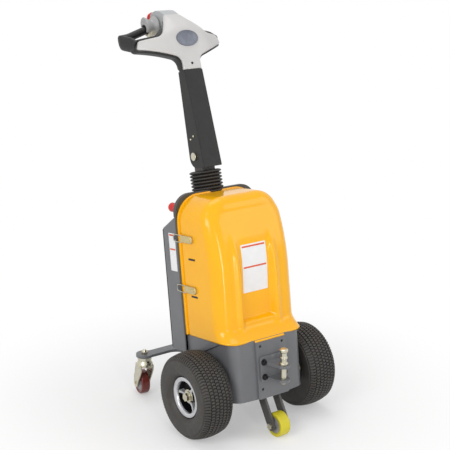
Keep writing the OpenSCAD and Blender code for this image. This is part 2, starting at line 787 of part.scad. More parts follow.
// Tiller post and the bellows round it
module tiller_post() color("dimgray") difference() {
    axle_frame() across(-post_w / 2, post_w / 2) {
        translate([pivot_y, pivot_up]) circle(22);
        polygon([
            [pivot_y - 45, arch_top - 42], [pivot_y - 3, arch_top - 42], [pivot_y + 20, pivot_up - 8],
            [pivot_y - 18, pivot_up + 12], [pivot_y - 43, arch_top - 2]
        ]);
    }
    body_frame() block([-100, 0, 0], [100, 300, dash_top + seat_gap]);
    axle_frame() translate([0, pivot_y, pivot_up]) on_x()
        cylinder(d = pivot_d + 2 * run_gap, h = 2 * post_w, center = true);
}
module bellows() color("black") body_frame() difference() {
    translate([0, post_reach, arch_top - bellows_sunk]) rotate([body_lean - bellows_lean, 0, 0])
        rotate_extrude() bellows_section();
    block([-bellows_d, 0, housing_low], [bellows_d, hood_back, arch_top + seat_gap]);
    along_y(hood_back - cut_past, 2 * dash_back) dash_outline(-seat_gap);
}
module bellows_section() {
    pitch = bellows_h / folds;
    r = bellows_d / 2;
    fold_in = 6;
    inner = r - 11;
    outside = [for (k = [0:folds - 1]) each [[r - fold_in, k * pitch], [r, (k + 0.5) * pitch]]];
    polygon(concat([[inner, 0]], outside, [[r - fold_in, bellows_h], [inner, bellows_h]]));
}

// Tiller column: a folded channel with a cover on its front
module column_side() {
    translate(heel) circle(heel_r);
    polygon([
        [-column_front, column_low], [5, column_low + 6], [column_back_low, 0],
        [column_back_high, column_top], [-column_front, column_top]
    ]);
}
module tiller_column() color("darkolivegreen") tiller_frame() difference() {
    across(-column_w / 2, column_w / 2) column_side();
    across(-column_w / 2 + column_wall, column_w / 2 - column_wall) polygon([
        [-2 * column_front, -80], [80, -80], [80, 40], [column_back_low - 12, 40],
        [column_back_high - column_wall, column_top - 6], [-2 * column_front, column_top - 6]
    ]);
    block(
        [-column_w, -2 * column_front, -100],
        [column_w, -column_front + column_wall + seat_gap, 2 * column_top]
    );
    on_x() cylinder(d = pivot_d + 2 * seat_gap, h = 2 * column_w, center = true);
}
module column_cover() color("dimgray") tiller_frame() along_y(-column_front, -column_front + column_wall)
    round_rect([-column_w / 2, column_low], [column_w / 2, column_top - 1], 3);
module tiller_pivot() color("silver") tiller_frame() on_x() {
    cylinder(d = pivot_d, h = column_w + 8, center = true);
    both_ends() translate([0, 0, column_w / 2 + seat_gap]) cylinder(d = pivot_d + 10, h = 5);
}

// Tiller head, drawn in the tiller's frame: a flat face, wings that sweep back and a cap over the throttle
module head_outline(step) rounded(mirrored([
    [foot_half, head_foot, 0], [foot_half, wing_root - step, 26],
    [wing_reach + step, wing_low - step, 6], [wing_reach - 10 + step, wing_high + step, 8],
    [face_half + 42, wing_high + step, 34], [face_half + 4, head_top - 28, 0],
    [cap_half + 2, head_top - 11, 0], [cap_half, head_top + 1, 0]
]));
// A sheet as high as asked, flat across the face and bent back along the wings
module bent_sheet(front, back, top) {
    far = wing_reach + 20;
    set_back = (far - face_half) * tan(wing_sweep);
    translate([0, -head_front, head_foot]) linear_extrude(top - head_foot) polygon([for (p = mirrored([
        [face_half, front], [far, front + set_back], [far, back + set_back], [face_half, back]
    ])) place(p)]);
}
// Side outlines of the head's skin: its front, up to the cap's end, and its inside, back to the foot
head_skin = [
    [-head_front, head_foot], [-head_front, head_top - 76], [-head_front + 5, head_top - 55],
    [-27, head_top - 28], [-8, head_top - 9], [12, head_top], [cap_back, head_top - 1]
];
head_inside = [
    [cap_back, head_top - 16], [16, head_top - 16], [0, head_top - 23], [-17, head_top - 40],
    [-head_front + 14, head_top - 60], [cover_back, head_top - 77], [cover_back, head_foot]
];
module head_cover() color("lightgray") tiller_frame() intersection() {
    along_y(-2 * column_front, 2 * cap_back) head_outline(0);
    union() {
        bent_sheet(0, head_t, sheet_top);
        difference() {
            across(-face_half, face_half) polygon(concat(head_skin, head_inside));
            both_sides() head_bevel();
        }
    }
}
// Cut that bevels the skin from the face to the narrow cap
module head_bevel() translate([face_half, -head_front, head_top - 73]) rotate([0, 61, -21.5])
    translate([-2 * face_half, -2 * face_half, 0]) cube(4 * face_half);
module head_base() color("black") tiller_frame() difference() {
    union() {
        across(-foot_half + 3, foot_half - 3) polygon([
            [cover_back, head_foot], [-10, head_foot], [20, head_top - 71], [30, head_top - 31],
            [0, head_top - 31], [cover_back, head_top - 70]
        ]);
        intersection() {
            along_y(-2 * column_front, 2 * cap_back) head_outline(base_step);
            bent_sheet(head_t + seat_gap, head_t + base_t, sheet_top - 12);
        }
    }
    across(-2 * face_half, 2 * face_half) polygon(concat(
        [for (p = head_inside) p + [seat_gap, -seat_gap]],
        [[cover_back + seat_gap, 0], [-2 * column_front, 0]],
        [[-2 * column_front, 2 * head_top], [cap_back, 2 * head_top]]
    ));
}
// Oval disc that lies on the skin
module head_disc() color("silver") tiller_frame() intersection() {
    along_y(-2 * column_front, cap_back) polygon([
        for (a = [0:7.5:359]) [disc_wide / 2 * cos(a), disc_w + disc_high / 2 * sin(a)]
    ]);
    across(-face_half, face_half) polygon(concat(
        [for (p = head_skin) p - [seat_gap, 0]],
        [for (k = [len(head_skin) - 1:-1:0]) head_skin[k] - [seat_gap + disc_t, 0]]
    ));
}

// Throttle behind the cap: a drum with a paddle at each side, and the belly button
module drum_bar(d, half) translate([0, drum_back, drum_up]) on_x()
    cylinder(d = d, h = 2 * half, center = true);
module throttle_housing() color("lightgray") tiller_frame() {
    drum_bar(drum_d, drum_half);
    across(-throttle_half, throttle_half) polygon([
        [cap_back + seat_gap, head_top - throttle_drop], [cap_back + seat_gap, head_top - 1],
        [drum_back - 2, head_top + 1], [throttle_back, head_top - 9],
        [throttle_back, head_top - throttle_drop], [drum_back + 8, head_top - throttle_belly]
    ]);
}
module throttle_paddles() color("silver") tiller_frame() both_sides() difference() {
    across(throttle_half + 10, drum_half + 8) translate([drum_back, drum_up]) rotate(40)
        translate([-paddle_back, drum_d / 2 - 5]) square([paddle_len, 11]);
    drum_bar(drum_d + seat_gap, 2 * drum_half);
}
module belly_button() color("red") tiller_frame() along_y(throttle_back + seat_gap, throttle_back + 9)
    round_rect([-24, head_top - 39], [24, head_top - 7], 8);
// Grip loops: a deep side bar from each wing and a round grip back to the drum
module hand_grips() color("black") tiller_frame() both_sides() difference() {
    union() {
        across(loop_reach - side_bar_t / 2, loop_reach + side_bar_t / 2) {
            translate([loop_back, loop_up]) circle(loop_r);
            polygon([
                [0, wing_low - 3], [loop_back + 6, loop_up - loop_r + 1],
                [loop_back - 6, loop_up + loop_r - 1], [0, wing_high + 4]
            ]);
        }
        bar(loop_corner, [drum_half + 4, drum_back + 1, drum_up + 2], grip_d / 2);
    }
    block([0, 0, 0], [drum_half + seat_gap, 2 * loop_back, 2 * head_top]);
    bent_sheet(-2 * base_t, head_t + base_t + seat_gap, 2 * head_top);
}

// Caster beam: a plate on the rear wall with two cross arms
module beam_plan() {
    root = rear_reach - 15;
    translate([-beam_half, root]) square([2 * beam_half, arm_mid - root]);
    translate([-stem_half, arm_mid - arm_w / 2]) square([2 * stem_half, arm_w]);
    for (side = [-1, 1]) translate([side * stem_half, stem_reach]) circle(beam_end_r);
    for (side = [0, 1]) mirror([side, 0])
        translate([beam_half - 1, arm_mid - arm_w / 2 - beam_fillet_r]) difference() {
            square(beam_fillet_r + 1);
            translate([beam_fillet_r + 1, 0]) circle(beam_fillet_r);
        }
}
module caster_beam() color("gray") difference() {
    union() {
        floor_frame() translate([0, 0, beam_low]) linear_extrude(beam_t) beam_plan();
        body_frame() block([-beam_half, rear_reach, tub_low + 6], [beam_half, rear_reach + 7, 44]);
    }
    body_frame() block([-stem_half, 0, -stem_half], [stem_half, rear_reach, stem_reach]);
    stem_places() translate([0, 0, beam_low - cut_past])
        cylinder(d = stem_d + 2 * seat_gap, h = beam_t + 2 * cut_past);
}
module stem_places() for (side = [-1, 1]) caster_place(side) children();
module caster_place(side)
    translate([side * stem_half, axle_y + stem_reach, 0]) rotate([0, 0, -caster_yaw]) children();

// Swivel casters: stems with their races, pressed forks and wheels
module caster_stems() color("silver") stem_places() {
    nut_d = stem_d + 10;
    translate([0, 0, crown_low - 8]) cylinder(d = stem_d, h = beam_top - crown_low + 10);
    translate([0, 0, crown_high + run_gap])
        cylinder(d = crown_d - 8, h = beam_low - crown_high - run_gap - seat_gap);
    translate([0, 0, crown_low - 8]) cylinder(d = nut_d, h = 8 - run_gap, $fn = 6);
    translate([0, 0, beam_top + seat_gap]) cylinder(d = nut_d, h = 7, $fn = 6);
    translate([0, 0, beam_top + 7]) sphere(d = stem_d + 4);
}
module crown_section() polygon([
    [stem_d / 2 + run_gap, crown_low], [crown_d / 2, crown_low], [crown_d / 2, crown_low + 7],
    [crown_d / 2 - 2, crown_low + 12], [crown_d / 2 - 5, crown_low + 16], [crown_d / 2 - 7, crown_high],
    [stem_d / 2 + run_gap, crown_high]
]);
module caster_leg() {
    top = crown_low + fork_t + 2;
    axle = [caster_trail, caster_d / 2];
    translate(axle) circle(leg_end_r);
    rounded([
        [axle[0] - leg_end_r, axle[1], 0], [axle[0] + leg_end_r, axle[1], 0],
        [24, top, 0], [-22, top, 0], [-22, crown_low - 12, 30]
    ]);
}
module caster_fork(side) color("silver") caster_place(side) {
    rotate_extrude() crown_section();
    difference() {
        block([-leg_out, -20, crown_low], [leg_out, 22, crown_low + fork_t + 2]);
        translate([0, 0, crown_low - cut_past]) cylinder(d = stem_d + 2 * run_gap + 2, h = crown_high);
    }
    for (x = [-leg_out, leg_in]) across(x, x + fork_t) caster_leg();
    translate([0, caster_trail, caster_d / 2]) on_x()
        cylinder(d = caster_axle_d, h = 2 * leg_out + 8, center = true);
}
module caster_wheel_place(side)
    caster_place(side) translate([0, caster_trail, caster_d / 2]) on_x() children();
module caster_core(side) color("gray") caster_wheel_place(side) difference() {
    union() {
        cylinder(d = caster_core_d, h = caster_w - 4, center = true);
        cylinder(d = caster_axle_d + 16, h = 2 * leg_in - 2 * run_gap, center = true);
    }
    cylinder(d = caster_axle_d + 2 * run_gap, h = 4 * caster_w, center = true);
}
module caster_tread(side) color("brown") caster_wheel_place(side) rotate_extrude() difference() {
    round_rect([0, -caster_w / 2], [caster_d / 2, caster_w / 2], 5);
    translate([-caster_d, -caster_w]) square([caster_d + caster_core_d / 2, 2 * caster_w]);
}

chassis_tub();
hitch_plate();
hitch_clevis();
hitch_pin();
roller_fork();
roller_axle();
roller_core();
roller_tread();
transaxle();
battery_block();
bulkhead();
rear_housing();
rear_panel();
dash_box();
stop_button();
key_switch();
charge_gauge();
front_cover();
latch_levers();
latch_wires();
tiller_post();
bellows();
tiller_column();
column_cover();
tiller_pivot();
head_base();
head_cover();
head_disc();
throttle_housing();
throttle_paddles();
belly_button();
hand_grips();
caster_beam();
caster_stems();
drive_tyre(-1);  // left_tyre
drive_rim(-1);  // left_rim
drive_hub(-1);  // left_hub
drive_tyre(1);  // right_tyre
drive_rim(1);  // right_rim
drive_hub(1);  // right_hub
caster_fork(-1);  // left_caster_fork
caster_core(-1);  // left_caster_core
caster_tread(-1);  // left_caster_tread
caster_fork(1);  // right_caster_fork
caster_core(1);  // right_caster_core
caster_tread(1);  // right_caster_tread
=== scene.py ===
# Looks of the electric tugger: moulded shells, tread, finishes, light and camera around its solids.
import json
import math
import bpy
from mathutils import Matrix, Vector
from mathutils.geometry import delaunay_2d_cdt


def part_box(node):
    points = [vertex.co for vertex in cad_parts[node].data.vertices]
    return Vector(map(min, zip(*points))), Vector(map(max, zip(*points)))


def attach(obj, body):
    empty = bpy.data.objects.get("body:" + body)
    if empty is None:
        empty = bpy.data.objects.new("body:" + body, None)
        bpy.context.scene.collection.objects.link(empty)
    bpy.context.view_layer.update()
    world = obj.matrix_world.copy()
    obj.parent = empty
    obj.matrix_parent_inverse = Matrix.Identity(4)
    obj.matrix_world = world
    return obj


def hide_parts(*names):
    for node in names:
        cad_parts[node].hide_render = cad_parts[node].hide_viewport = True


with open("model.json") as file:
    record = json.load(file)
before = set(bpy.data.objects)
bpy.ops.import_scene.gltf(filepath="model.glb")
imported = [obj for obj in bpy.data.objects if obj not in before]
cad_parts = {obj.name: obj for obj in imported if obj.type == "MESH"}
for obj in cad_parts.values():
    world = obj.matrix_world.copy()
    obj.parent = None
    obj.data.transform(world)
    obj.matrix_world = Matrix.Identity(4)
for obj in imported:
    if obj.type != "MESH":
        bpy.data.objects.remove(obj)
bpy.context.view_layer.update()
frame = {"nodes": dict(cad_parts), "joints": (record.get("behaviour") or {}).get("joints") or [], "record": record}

# Frames of the object, in millimetres: the leaned body and the leaned tiller
MM = 0.001
TO_METRES = Matrix.Scale(MM, 4)
BODY_LEAN = 7.2
TILLER_LEAN = 20
JOINTS = {joint["name"]: joint for joint in frame["joints"]}
AXLE = Vector(JOINTS["left_wheel_spin"]["pos_m"])
PIVOT = Vector(JOINTS["tiller_tilt"]["pos_m"])


def leaned(x, y, z, degrees):
    return (
        Matrix.Translation((x, y, z))
        @ Matrix.Rotation(math.radians(-degrees), 4, "X")
        @ TO_METRES
    )


BODY = leaned(0, AXLE.y, AXLE.z, BODY_LEAN)
TILLER = leaned(0, PIVOT.y, PIVOT.z, TILLER_LEAN)

# Fineness of the shapes: degrees in a step of an arc, steps of a round edge and of a bend, sides of a tube
ARC_STEP = 9
ROUND_STEPS = 4
BEND_STEPS = 10
TUBE_SIDES = 20
WELD_REACH = 0.00002


# Shapes are pairs of points and faces
def joined(shapes):
    points, faces = [], []
    for shape_points, shape_faces in shapes:
        start = len(points)
        points += shape_points
        faces += [[start + k for k in face] for face in shape_faces]
    return points, faces


def moved(shape, matrix):
    return [matrix @ Vector(p) for p in shape[0]], shape[1]


def mirrored(shape):
    return [(-p[0], p[1], p[2]) for p in shape[0]], [face[::-1] for face in shape[1]]


def both_sides(shape):
    return joined([shape, mirrored(shape)])


def skin(rows, round_rows=False, round_columns=False):
    """Quads between rows of points that are equally long."""
    width = len(rows[0])
    points = [p for row in rows for p in row]
    faces = []
    for i in range(len(rows) if round_rows else len(rows) - 1):
        for j in range(width if round_columns else width - 1):
            a, b = i * width, (i + 1) % len(rows) * width
            faces.append([a + j, a + (j + 1) % width, b + (j + 1) % width, b + j])
    return points, faces


def capped(rows):
    """A closed skin over rings, with a face on each end."""
    points, faces = skin(rows, round_columns=True)
    width = len(rows[0])
    last = len(points) - width
    return points, faces + [list(range(width))[::-1], list(range(last, last + width))]


def revolved(profile, segments):
    """Turns a closed profile of (radius, height) about Z."""
    rows = []
    for k in range(segments):
        turn = 2 * math.pi * k / segments
        rows.append([(r * math.cos(turn), r * math.sin(turn), h) for r, h in profile])
    return skin(rows, round_rows=True, round_columns=True)


def outline_of(corners, spacing=4):
    """Points along a closed outline whose corners are (x, y, radius)."""
    points = []
    count = len(corners)
    for k in range(count):
        before = Vector(corners[k - 1][:2])
        here = Vector(corners[k][:2])
        after = Vector(corners[(k + 1) % count][:2])
        arc = corner_arc(before, here, after, corners[k][2])
        if points:
            points += filled_line(points[-1], arc[0], spacing)
        points += arc
    return points + filled_line(points[-1], points[0], spacing)


def filled_line(a, b, spacing):
    steps = max(1, round((b - a).length / spacing))
    return [a.lerp(b, k / steps) for k in range(1, steps)]


def corner_arc(before, here, after, radius):
    if radius <= 0:
        return [here.copy()]
    into = (before - here).normalized()
    out = (after - here).normalized()
    half = into.angle(out) / 2
    reach = radius / math.tan(half)
    centre = here + (into + out).normalized() * radius / math.sin(half)
    first = here + into * reach - centre
    sweep = first.angle_signed(here + out * reach - centre)
    steps = max(2, round(abs(math.degrees(sweep)) / ARC_STEP))
    return [centre + Matrix.Rotation(-sweep * k / steps, 2) @ first for k in range(steps + 1)]


def inset_of(outline, distance):
    """The outline moved inwards; it runs anticlockwise."""
    count = len(outline)
    moved_points = []
    for k in range(count):
        along = (outline[(k + 1) % count] - outline[k - 1]).normalized()
        moved_points.append(outline[k] + Vector((-along.y, along.x)) * distance)
    return moved_points


def inside(outline, p):
    hits = False
    for a, b in zip(outline, outline[1:] + outline[:1]):
        if (a.y > p.y) != (b.y > p.y) and p.x < (b.x - a.x) * (p.y - a.y) / (b.y - a.y) + a.x:
            hits = not hits
    return hits


def filled(outline, spacing):
    """Triangles over an outline, with its own points first."""
    low = Vector((min(p.x for p in outline), min(p.y for p in outline)))
    high = Vector((max(p.x for p in outline), max(p.y for p in outline)))
    room = inset_of(outline, spacing * 0.6)
    extra = []
    for i in range(1, int((high.x - low.x) / spacing) + 1):
        for j in range(1, int((high.y - low.y) / spacing) + 1):
            p = low + Vector((i, j)) * spacing
            if inside(room, p) and inside(outline, p):
                extra.append(p)
    edges = [(k, (k + 1) % len(outline)) for k in range(len(outline))]
    made = delaunay_2d_cdt(outline + extra, edges, [list(range(len(outline)))], 1, 1e-6)
    return made[0], [list(face) for face in made[2]]


def moulded(outline, depth, edge, surface, spacing=7, back=0):
    """A closed pad with round edges. surface(x, y, d) places a point that lies d behind the pad's front."""
    turns = [math.pi / 2 * k / ROUND_STEPS for k in range(ROUND_STEPS + 1)]
    rounding = [(0, depth)]
    if back:
        rounding = [(back * (1 - math.sin(a)), depth - back * (1 - math.cos(a))) for a in turns]
    rounding += [(edge * (1 - math.cos(a)), edge * (1 - math.sin(a))) for a in turns]
    rings = []
    for inset, d in rounding:
        rings.append([surface(p.x, p.y, d) for p in inset_of(outline, inset)])
    front = filled(inset_of(outline, edge), spacing)
    rear = filled(inset_of(outline, back), spacing)
    return joined([
        skin(rings, round_columns=True),
        ([surface(p.x, p.y, 0) for p in front[0]], front[1]),
        ([surface(p.x, p.y, depth) for p in rear[0]], [face[::-1] for face in rear[1]]),
    ])


def prism(outline, x0, x1):
    """An outline of (Y, Z) points that runs along X."""
    return capped([[(x0, p[0], p[1]) for p in outline], [(x1, p[0], p[1]) for p in outline]])


def tube(path, section, up=Vector((0, 0, 1))):
    """A closed tube along a path. section(t) gives its half width and half height."""
    turns = [2 * math.pi * j / TUBE_SIDES for j in range(TUBE_SIDES)]
    rows = []
    for k, p in enumerate(path):
        along = (path[min(k + 1, len(path) - 1)] - path[max(k - 1, 0)]).normalized()
        side = along.cross(up).normalized()
        top = side.cross(along)
        wide, high = section(k / (len(path) - 1))
        rows.append([p + side * wide * math.cos(a) + top * high * math.sin(a) for a in turns])
    return capped(rows)


def rounded_path(points, radius, spacing=4):
    """A path through points in space whose inner corners are arcs."""
    path = [points[0]]
    for before, here, after in zip(points, points[1:], points[2:]):
        into, out = (before - here).normalized(), (after - here).normalized()
        reach = radius / math.tan(into.angle(out) / 2)
        start, end = here + into * reach, here + out * reach
        for t in (k / BEND_STEPS for k in range(BEND_STEPS + 1)):
            path.append(start.lerp(here, t).lerp(here.lerp(end, t), t))
    path.append(points[-1])
    dense = [path[0]]
    for p in path[1:]:
        steps = max(1, round((p - dense[-1]).length / spacing))
        dense += [dense[-1].lerp(p, k / steps) for k in range(1, steps + 1)]
    return dense


WASHER_T = 1.8


def hex_bolt(across, height):
    """A hexagon bolt head with a washer; it stands on Z = 0."""
    r = across / 2 / math.cos(math.pi / 6)
    washer_r = r * 1.35
    edge = (washer_r, WASHER_T - 0.4), (r * 1.25, WASHER_T)
    washer = revolved([(0.1, 0), (washer_r, 0), *edge, (0.1, WASHER_T)], 32)
    turns = [math.pi / 3 * k for k in range(6)]
    rows = []
    for radius, z in ((r, WASHER_T), (r, height - 1), (r * 0.86, height)):
        rows.append([(radius * math.cos(a), radius * math.sin(a), z) for a in turns])
    return joined([washer, capped(rows)])


def dome_head(d, height):
    """A round rivet or screw head; it stands on Z = 0."""
    r = d / 2
    turns = [math.pi / 2 * k / 6 for k in range(6)]
    curve = [(r * math.cos(a), height * math.sin(a)) for a in turns]
    return revolved([(0.1, 0)] + curve + [(0.1, height)], 24)


def turned(x, y, z, normal):
    """Places a shape that stands on Z = 0 at a point, along a normal."""
    return Matrix.Translation((x, y, z)) @ Vector(normal).to_track_quat("Z", "Y").to_matrix().to_4x4()


# Objects
def piece(name, shape, place, finish, body, replaced=(), sharp=35):
    mesh = bpy.data.meshes.new(name)
    mesh.from_pydata([place @ Vector(p) for p in shape[0]], [], shape[1])
    obj = bpy.data.objects.new(name, mesh)
    bpy.context.scene.collection.objects.link(obj)
    weld = obj.modifiers.new("weld", "WELD")
    weld.merge_threshold = WELD_REACH
    mesh.shade_smooth()
    mesh.set_sharp_from_angle(angle=math.radians(sharp))
    mesh.materials.append(FINISHES[finish])
    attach(obj, body)
    if replaced:
        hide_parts(*replaced)
    return obj


def soften(obj, width, segments=2):
    bevel = obj.modifiers.new("soft_edges", "BEVEL")
    bevel.width = width * MM
    bevel.segments = segments
    bevel.limit_method = "ANGLE"
    bevel.angle_limit = math.radians(32)
    bevel.use_clamp_overlap = True
    bevel.harden_normals = True
    return obj


# Finishes
NOISE_SPAN = (0.3, 0.7)
GRAIN_HEIGHT = 0.3


def srgb(r, g, b):
    """A colour given as it looks on a screen, 0 to 255, as the shader takes it."""
    def linear(c):
        c /= 255
        return c / 12.92 if c <= 0.04045 else ((c + 0.055) / 1.055) ** 2.4
    return linear(r), linear(g), linear(b), 1.0


def noise(tree, size, detail):
    place = tree.nodes.get("place") or tree.nodes.new("ShaderNodeTexCoord")
    place.name = "place"
    made = tree.nodes.new("ShaderNodeTexNoise")
    made.inputs["Scale"].default_value = 1 / (size * MM)
    made.inputs["Detail"].default_value = detail
    tree.links.new(place.outputs["Object"], made.inputs["Vector"])
    return made.outputs["Fac"]


def mapped(tree, value, low, high):
    made = tree.nodes.new("ShaderNodeMapRange")
    made.inputs["From Min"].default_value = NOISE_SPAN[0]
    made.inputs["From Max"].default_value = NOISE_SPAN[1]
    made.inputs["To Min"].default_value = low
    made.inputs["To Max"].default_value = high
    tree.links.new(value, made.inputs["Value"])
    return made.outputs["Result"]


def mixed(tree, share, a, b):
    made = tree.nodes.new("ShaderNodeMix")
    made.data_type = "RGBA"
    tree.links.new(share, made.inputs[0])
    for socket, colour in ((made.inputs[6], a), (made.inputs[7], b)):
        if isinstance(colour, tuple):
            socket.default_value = colour
        else:
            tree.links.new(colour, socket)
    return made.outputs[2]


def finish(name, colour, other, rough, metal=0.0, mottle=60, grain=1.5, relief=0.1, shine=0.5):
    """A surface whose colour drifts between two tones, with a fine grain in its relief."""
    made = bpy.data.materials.new(name)
    made.use_nodes = True
    tree = made.node_tree
    shader = tree.nodes["Principled BSDF"]
    tone = mixed(tree, mapped(tree, noise(tree, mottle, 4), 0, 1), srgb(*colour), srgb(*other))
    tree.links.new(tone, shader.inputs["Base Color"])
    rough_noise = noise(tree, mottle / 4, 3)
    tree.links.new(mapped(tree, rough_noise, rough[0], rough[1]), shader.inputs["Roughness"])
    shader.inputs["Metallic"].default_value = metal
    shader.inputs["Specular IOR Level"].default_value = shine
    bump = tree.nodes.new("ShaderNodeBump")
    bump.inputs["Strength"].default_value = relief
    bump.inputs["Distance"].default_value = GRAIN_HEIGHT * MM
    tree.links.new(noise(tree, grain, 2), bump.inputs["Height"])
    tree.links.new(bump.outputs["Normal"], shader.inputs["Normal"])
    return made


# Columns: colour, second tone, range of roughness, share of metal, size of the mottle and of the grain in
# millimetres, strength of the relief and, where it isn't the usual one, shine
TONES = {
    "yellow_shell": ((253, 184, 4), (251, 180, 2), (0.14, 0.18), 0, 90, 2.2, 0.1, 0.42),
    "grey_paint": ((110, 111, 114), (104, 105, 108), (0.3, 0.38), 0, 60, 1.2, 0.16),
    "dark_paint": ((74, 72, 69), (67, 65, 63), (0.4, 0.5), 0, 60, 1.2, 0.22),
    "column_paint": ((42, 41, 40), (37, 36, 36), (0.4, 0.48), 0, 60, 1.0, 0.2, 0.3),
    "zinc": ((206, 202, 186), (190, 184, 160), (0.24, 0.38), 1, 14, 0.8, 0.1),
    "latch_steel": ((206, 190, 140), (192, 174, 122), (0.3, 0.42), 0.6, 16, 0.8, 0.1),
    "grey_plastic": ((150, 148, 150), (138, 136, 138), (0.4, 0.5), 0, 20, 0.8, 0.15),
    "yellow_urethane": ((216, 203, 44), (204, 190, 34), (0.4, 0.5), 0, 20, 1.0, 0.2),
    "maroon_urethane": ((118, 44, 36), (104, 36, 30), (0.25, 0.35), 0, 20, 1.0, 0.1),
    "cast_case": ((92, 92, 94), (78, 78, 80), (0.5, 0.62), 0.2, 30, 1.6, 0.5),
    "battery_case": ((52, 52, 54), (46, 46, 48), (0.5, 0.6), 0, 30, 1.2, 0.3),
    "black_plastic": ((26, 26, 25), (21, 21, 21), (0.36, 0.46), 0, 40, 0.9, 0.25, 0.35),
    "red_plastic": ((226, 52, 44), (214, 44, 38), (0.25, 0.32), 0, 20, 1.2, 0.06),
    "head_shell": ((202, 200, 198), (197, 195, 193), (0.3, 0.38), 0, 70, 1.0, 0.14),
    "cap_plastic": ((178, 181, 182), (172, 175, 176), (0.34, 0.42), 0, 40, 1.0, 0.14),
    "disc_metal": ((118, 122, 132), (104, 108, 118), (0.34, 0.44), 0.6, 12, 0.6, 0.1),
    "paddle_plastic": ((166, 167, 166), (158, 159, 158), (0.34, 0.42), 0, 20, 0.9, 0.12),
    "black_rubber": ((46, 44, 42), (38, 37, 36), (0.48, 0.6), 0, 30, 1.2, 0.25),
    "tyre": ((62, 58, 54), (53, 50, 47), (0.5, 0.62), 0, 24, 1.4, 0.3),
    "rim_metal": ((206, 207, 209), (192, 193, 196), (0.3, 0.4), 1, 16, 0.7, 0.08),
    "cast_alloy": ((196, 197, 198), (184, 185, 187), (0.3, 0.4), 0.35, 16, 0.7, 0.1),
    "cream_plastic": ((214, 208, 190), (206, 199, 180), (0.4, 0.5), 0, 30, 0.9, 0.14),
    "label_white": ((240, 240, 240), (234, 234, 235), (0.4, 0.5), 0, 20, 0.8, 0.05),
    "label_orange": ((226, 92, 40), (216, 84, 36), (0.4, 0.5), 0, 20, 0.8, 0.05),
    "dark_steel": ((44, 44, 46), (34, 34, 36), (0.3, 0.42), 0.7, 14, 0.8, 0.12),
}
FINISHES = {name: finish(name, *row) for name, row in TONES.items()}


# Front cover, in the body's frame
COVER_REAR = 106.8
COVER_FRONT = -80
COVER_LOW = 158.2
COVER_TOP = 593
COVER_HALF = 152
COVER_CORNER = 82
COVER_EDGE = 45
COVER_WALL = 5
FLARE_TOP = 196
FLARE = 38
FLARE_POWER = 1.6
TAB_HALF = 56
TAB_DROP = 6
TAB_FLARE = 45
FLANGE_W = 8
FLANGE_STEP = 3
GROOVE_DEPTH = 2.5
GROOVE_W = 7
SET_BACK = 40
SET_BACK_FROM = 349
SET_BACK_TO = 545
RECESS_HALF = 66
RECESS_DEPTH = 18
RECESS_WALL = 14
RECESS_FOOT = 204
RECESS_HEAD = 464
CHEEK_AT = 71
CHEEK_WIDE = 11
CHEEK_RISE = 8
CHEEK_FOOT = 165
CHEEK_FOOT_FADE = 40
CHEEK_HEAD = 500
CHEEK_HEAD_FADE = 120
TOP_TAPER = 4
INNER_CORNER = 2.5

# Fineness of the cover: steps up a side, round a corner and over the top, rings along its side, round its
# front edge and, with their pitch, over its cheeks and its middle
SIDE_STEPS = 96
CORNER_STEPS = 18
TOP_STEPS = 16
SIDE_RINGS = 12
EDGE_RINGS = 20
CHEEK_RINGS, CHEEK_PITCH = 14, 3
MIDDLE_RINGS, MIDDLE_PITCH = 13, 4
TAB_SLIT = 0.4


def smooth(t):
    t = min(1, max(0, t))
    return t * t * (3 - 2 * t)


def cover_stretch(z):
    """How much deeper than its middle the cover is at a height."""
    flare = FLARE * max(0, (FLARE_TOP - z) / (FLARE_TOP - COVER_LOW)) ** FLARE_POWER
    high = min(1, max(0, (z - SET_BACK_FROM) / (SET_BACK_TO - SET_BACK_FROM)))
    return 1 + (min(flare, TAB_FLARE) - SET_BACK * high**2) / (COVER_REAR - COVER_FRONT)


def cover_taper(z):
    """How much narrower than its rear edge the cover's front is at a height."""
    if z < FLARE_TOP:
        return (z - COVER_LOW) / (FLARE_TOP - COVER_LOW)
    return 1 + TOP_TAPER * (z - FLARE_TOP) / (COVER_TOP - FLARE_TOP)


def cover_relief(x, z):
    """Depth of the recess less the rise of the cheeks beside it."""
    x = abs(x)
    across = smooth((RECESS_HALF - x) / RECESS_WALL)
    foot = smooth((z - RECESS_FOOT) / RECESS_WALL)
    fade = max(0, (RECESS_HEAD - z) / (RECESS_HEAD - RECESS_FOOT))
    cheek = math.exp(-(((x - CHEEK_AT) / CHEEK_WIDE) ** 2))
    cheek *= smooth((z - CHEEK_FOOT) / CHEEK_FOOT_FADE) * smooth((CHEEK_HEAD - z) / CHEEK_HEAD_FADE)
    return RECESS_DEPTH * across * foot * fade - CHEEK_RISE * cheek


def cover_front(x, z):
    """Place along Y of the cover's front face."""
    return COVER_REAR - (COVER_REAR - COVER_FRONT) * cover_stretch(z) + cover_relief(x, z)


def cover_ring(inset, y, front):
    """An arch of the cover: its inset, its place along Y and its share of the relief."""
    half, top = COVER_HALF - inset, COVER_TOP - inset
    r = min(max(COVER_CORNER - inset, INNER_CORNER), half)
    low = COVER_LOW - (TAB_DROP if front and half < TAB_HALF else 0)
    left = [(-half, low + (top - r - low) * k / SIDE_STEPS) for k in range(SIDE_STEPS)]
    turns = [math.pi / 2 * k / CORNER_STEPS for k in range(CORNER_STEPS)]
    left += [(-half + r - r * math.cos(a), top - r + r * math.sin(a)) for a in turns]
    span = half - r
    across = [(-span + span * k / TOP_STEPS, top) for k in range(TOP_STEPS)]
    flat = left + across + [(0, top)] + [(-x, z) for x, z in reversed(left + across)]
    share = (COVER_REAR - y) / (COVER_REAR - COVER_FRONT)
    ring = []
    for x, z in flat:
        x *= 1 - cover_taper(z) * share / COVER_HALF
        depth = (COVER_REAR - y) * cover_stretch(z) - front * cover_relief(x, z)
        ring.append((x, COVER_REAR - depth, z))
    return ring


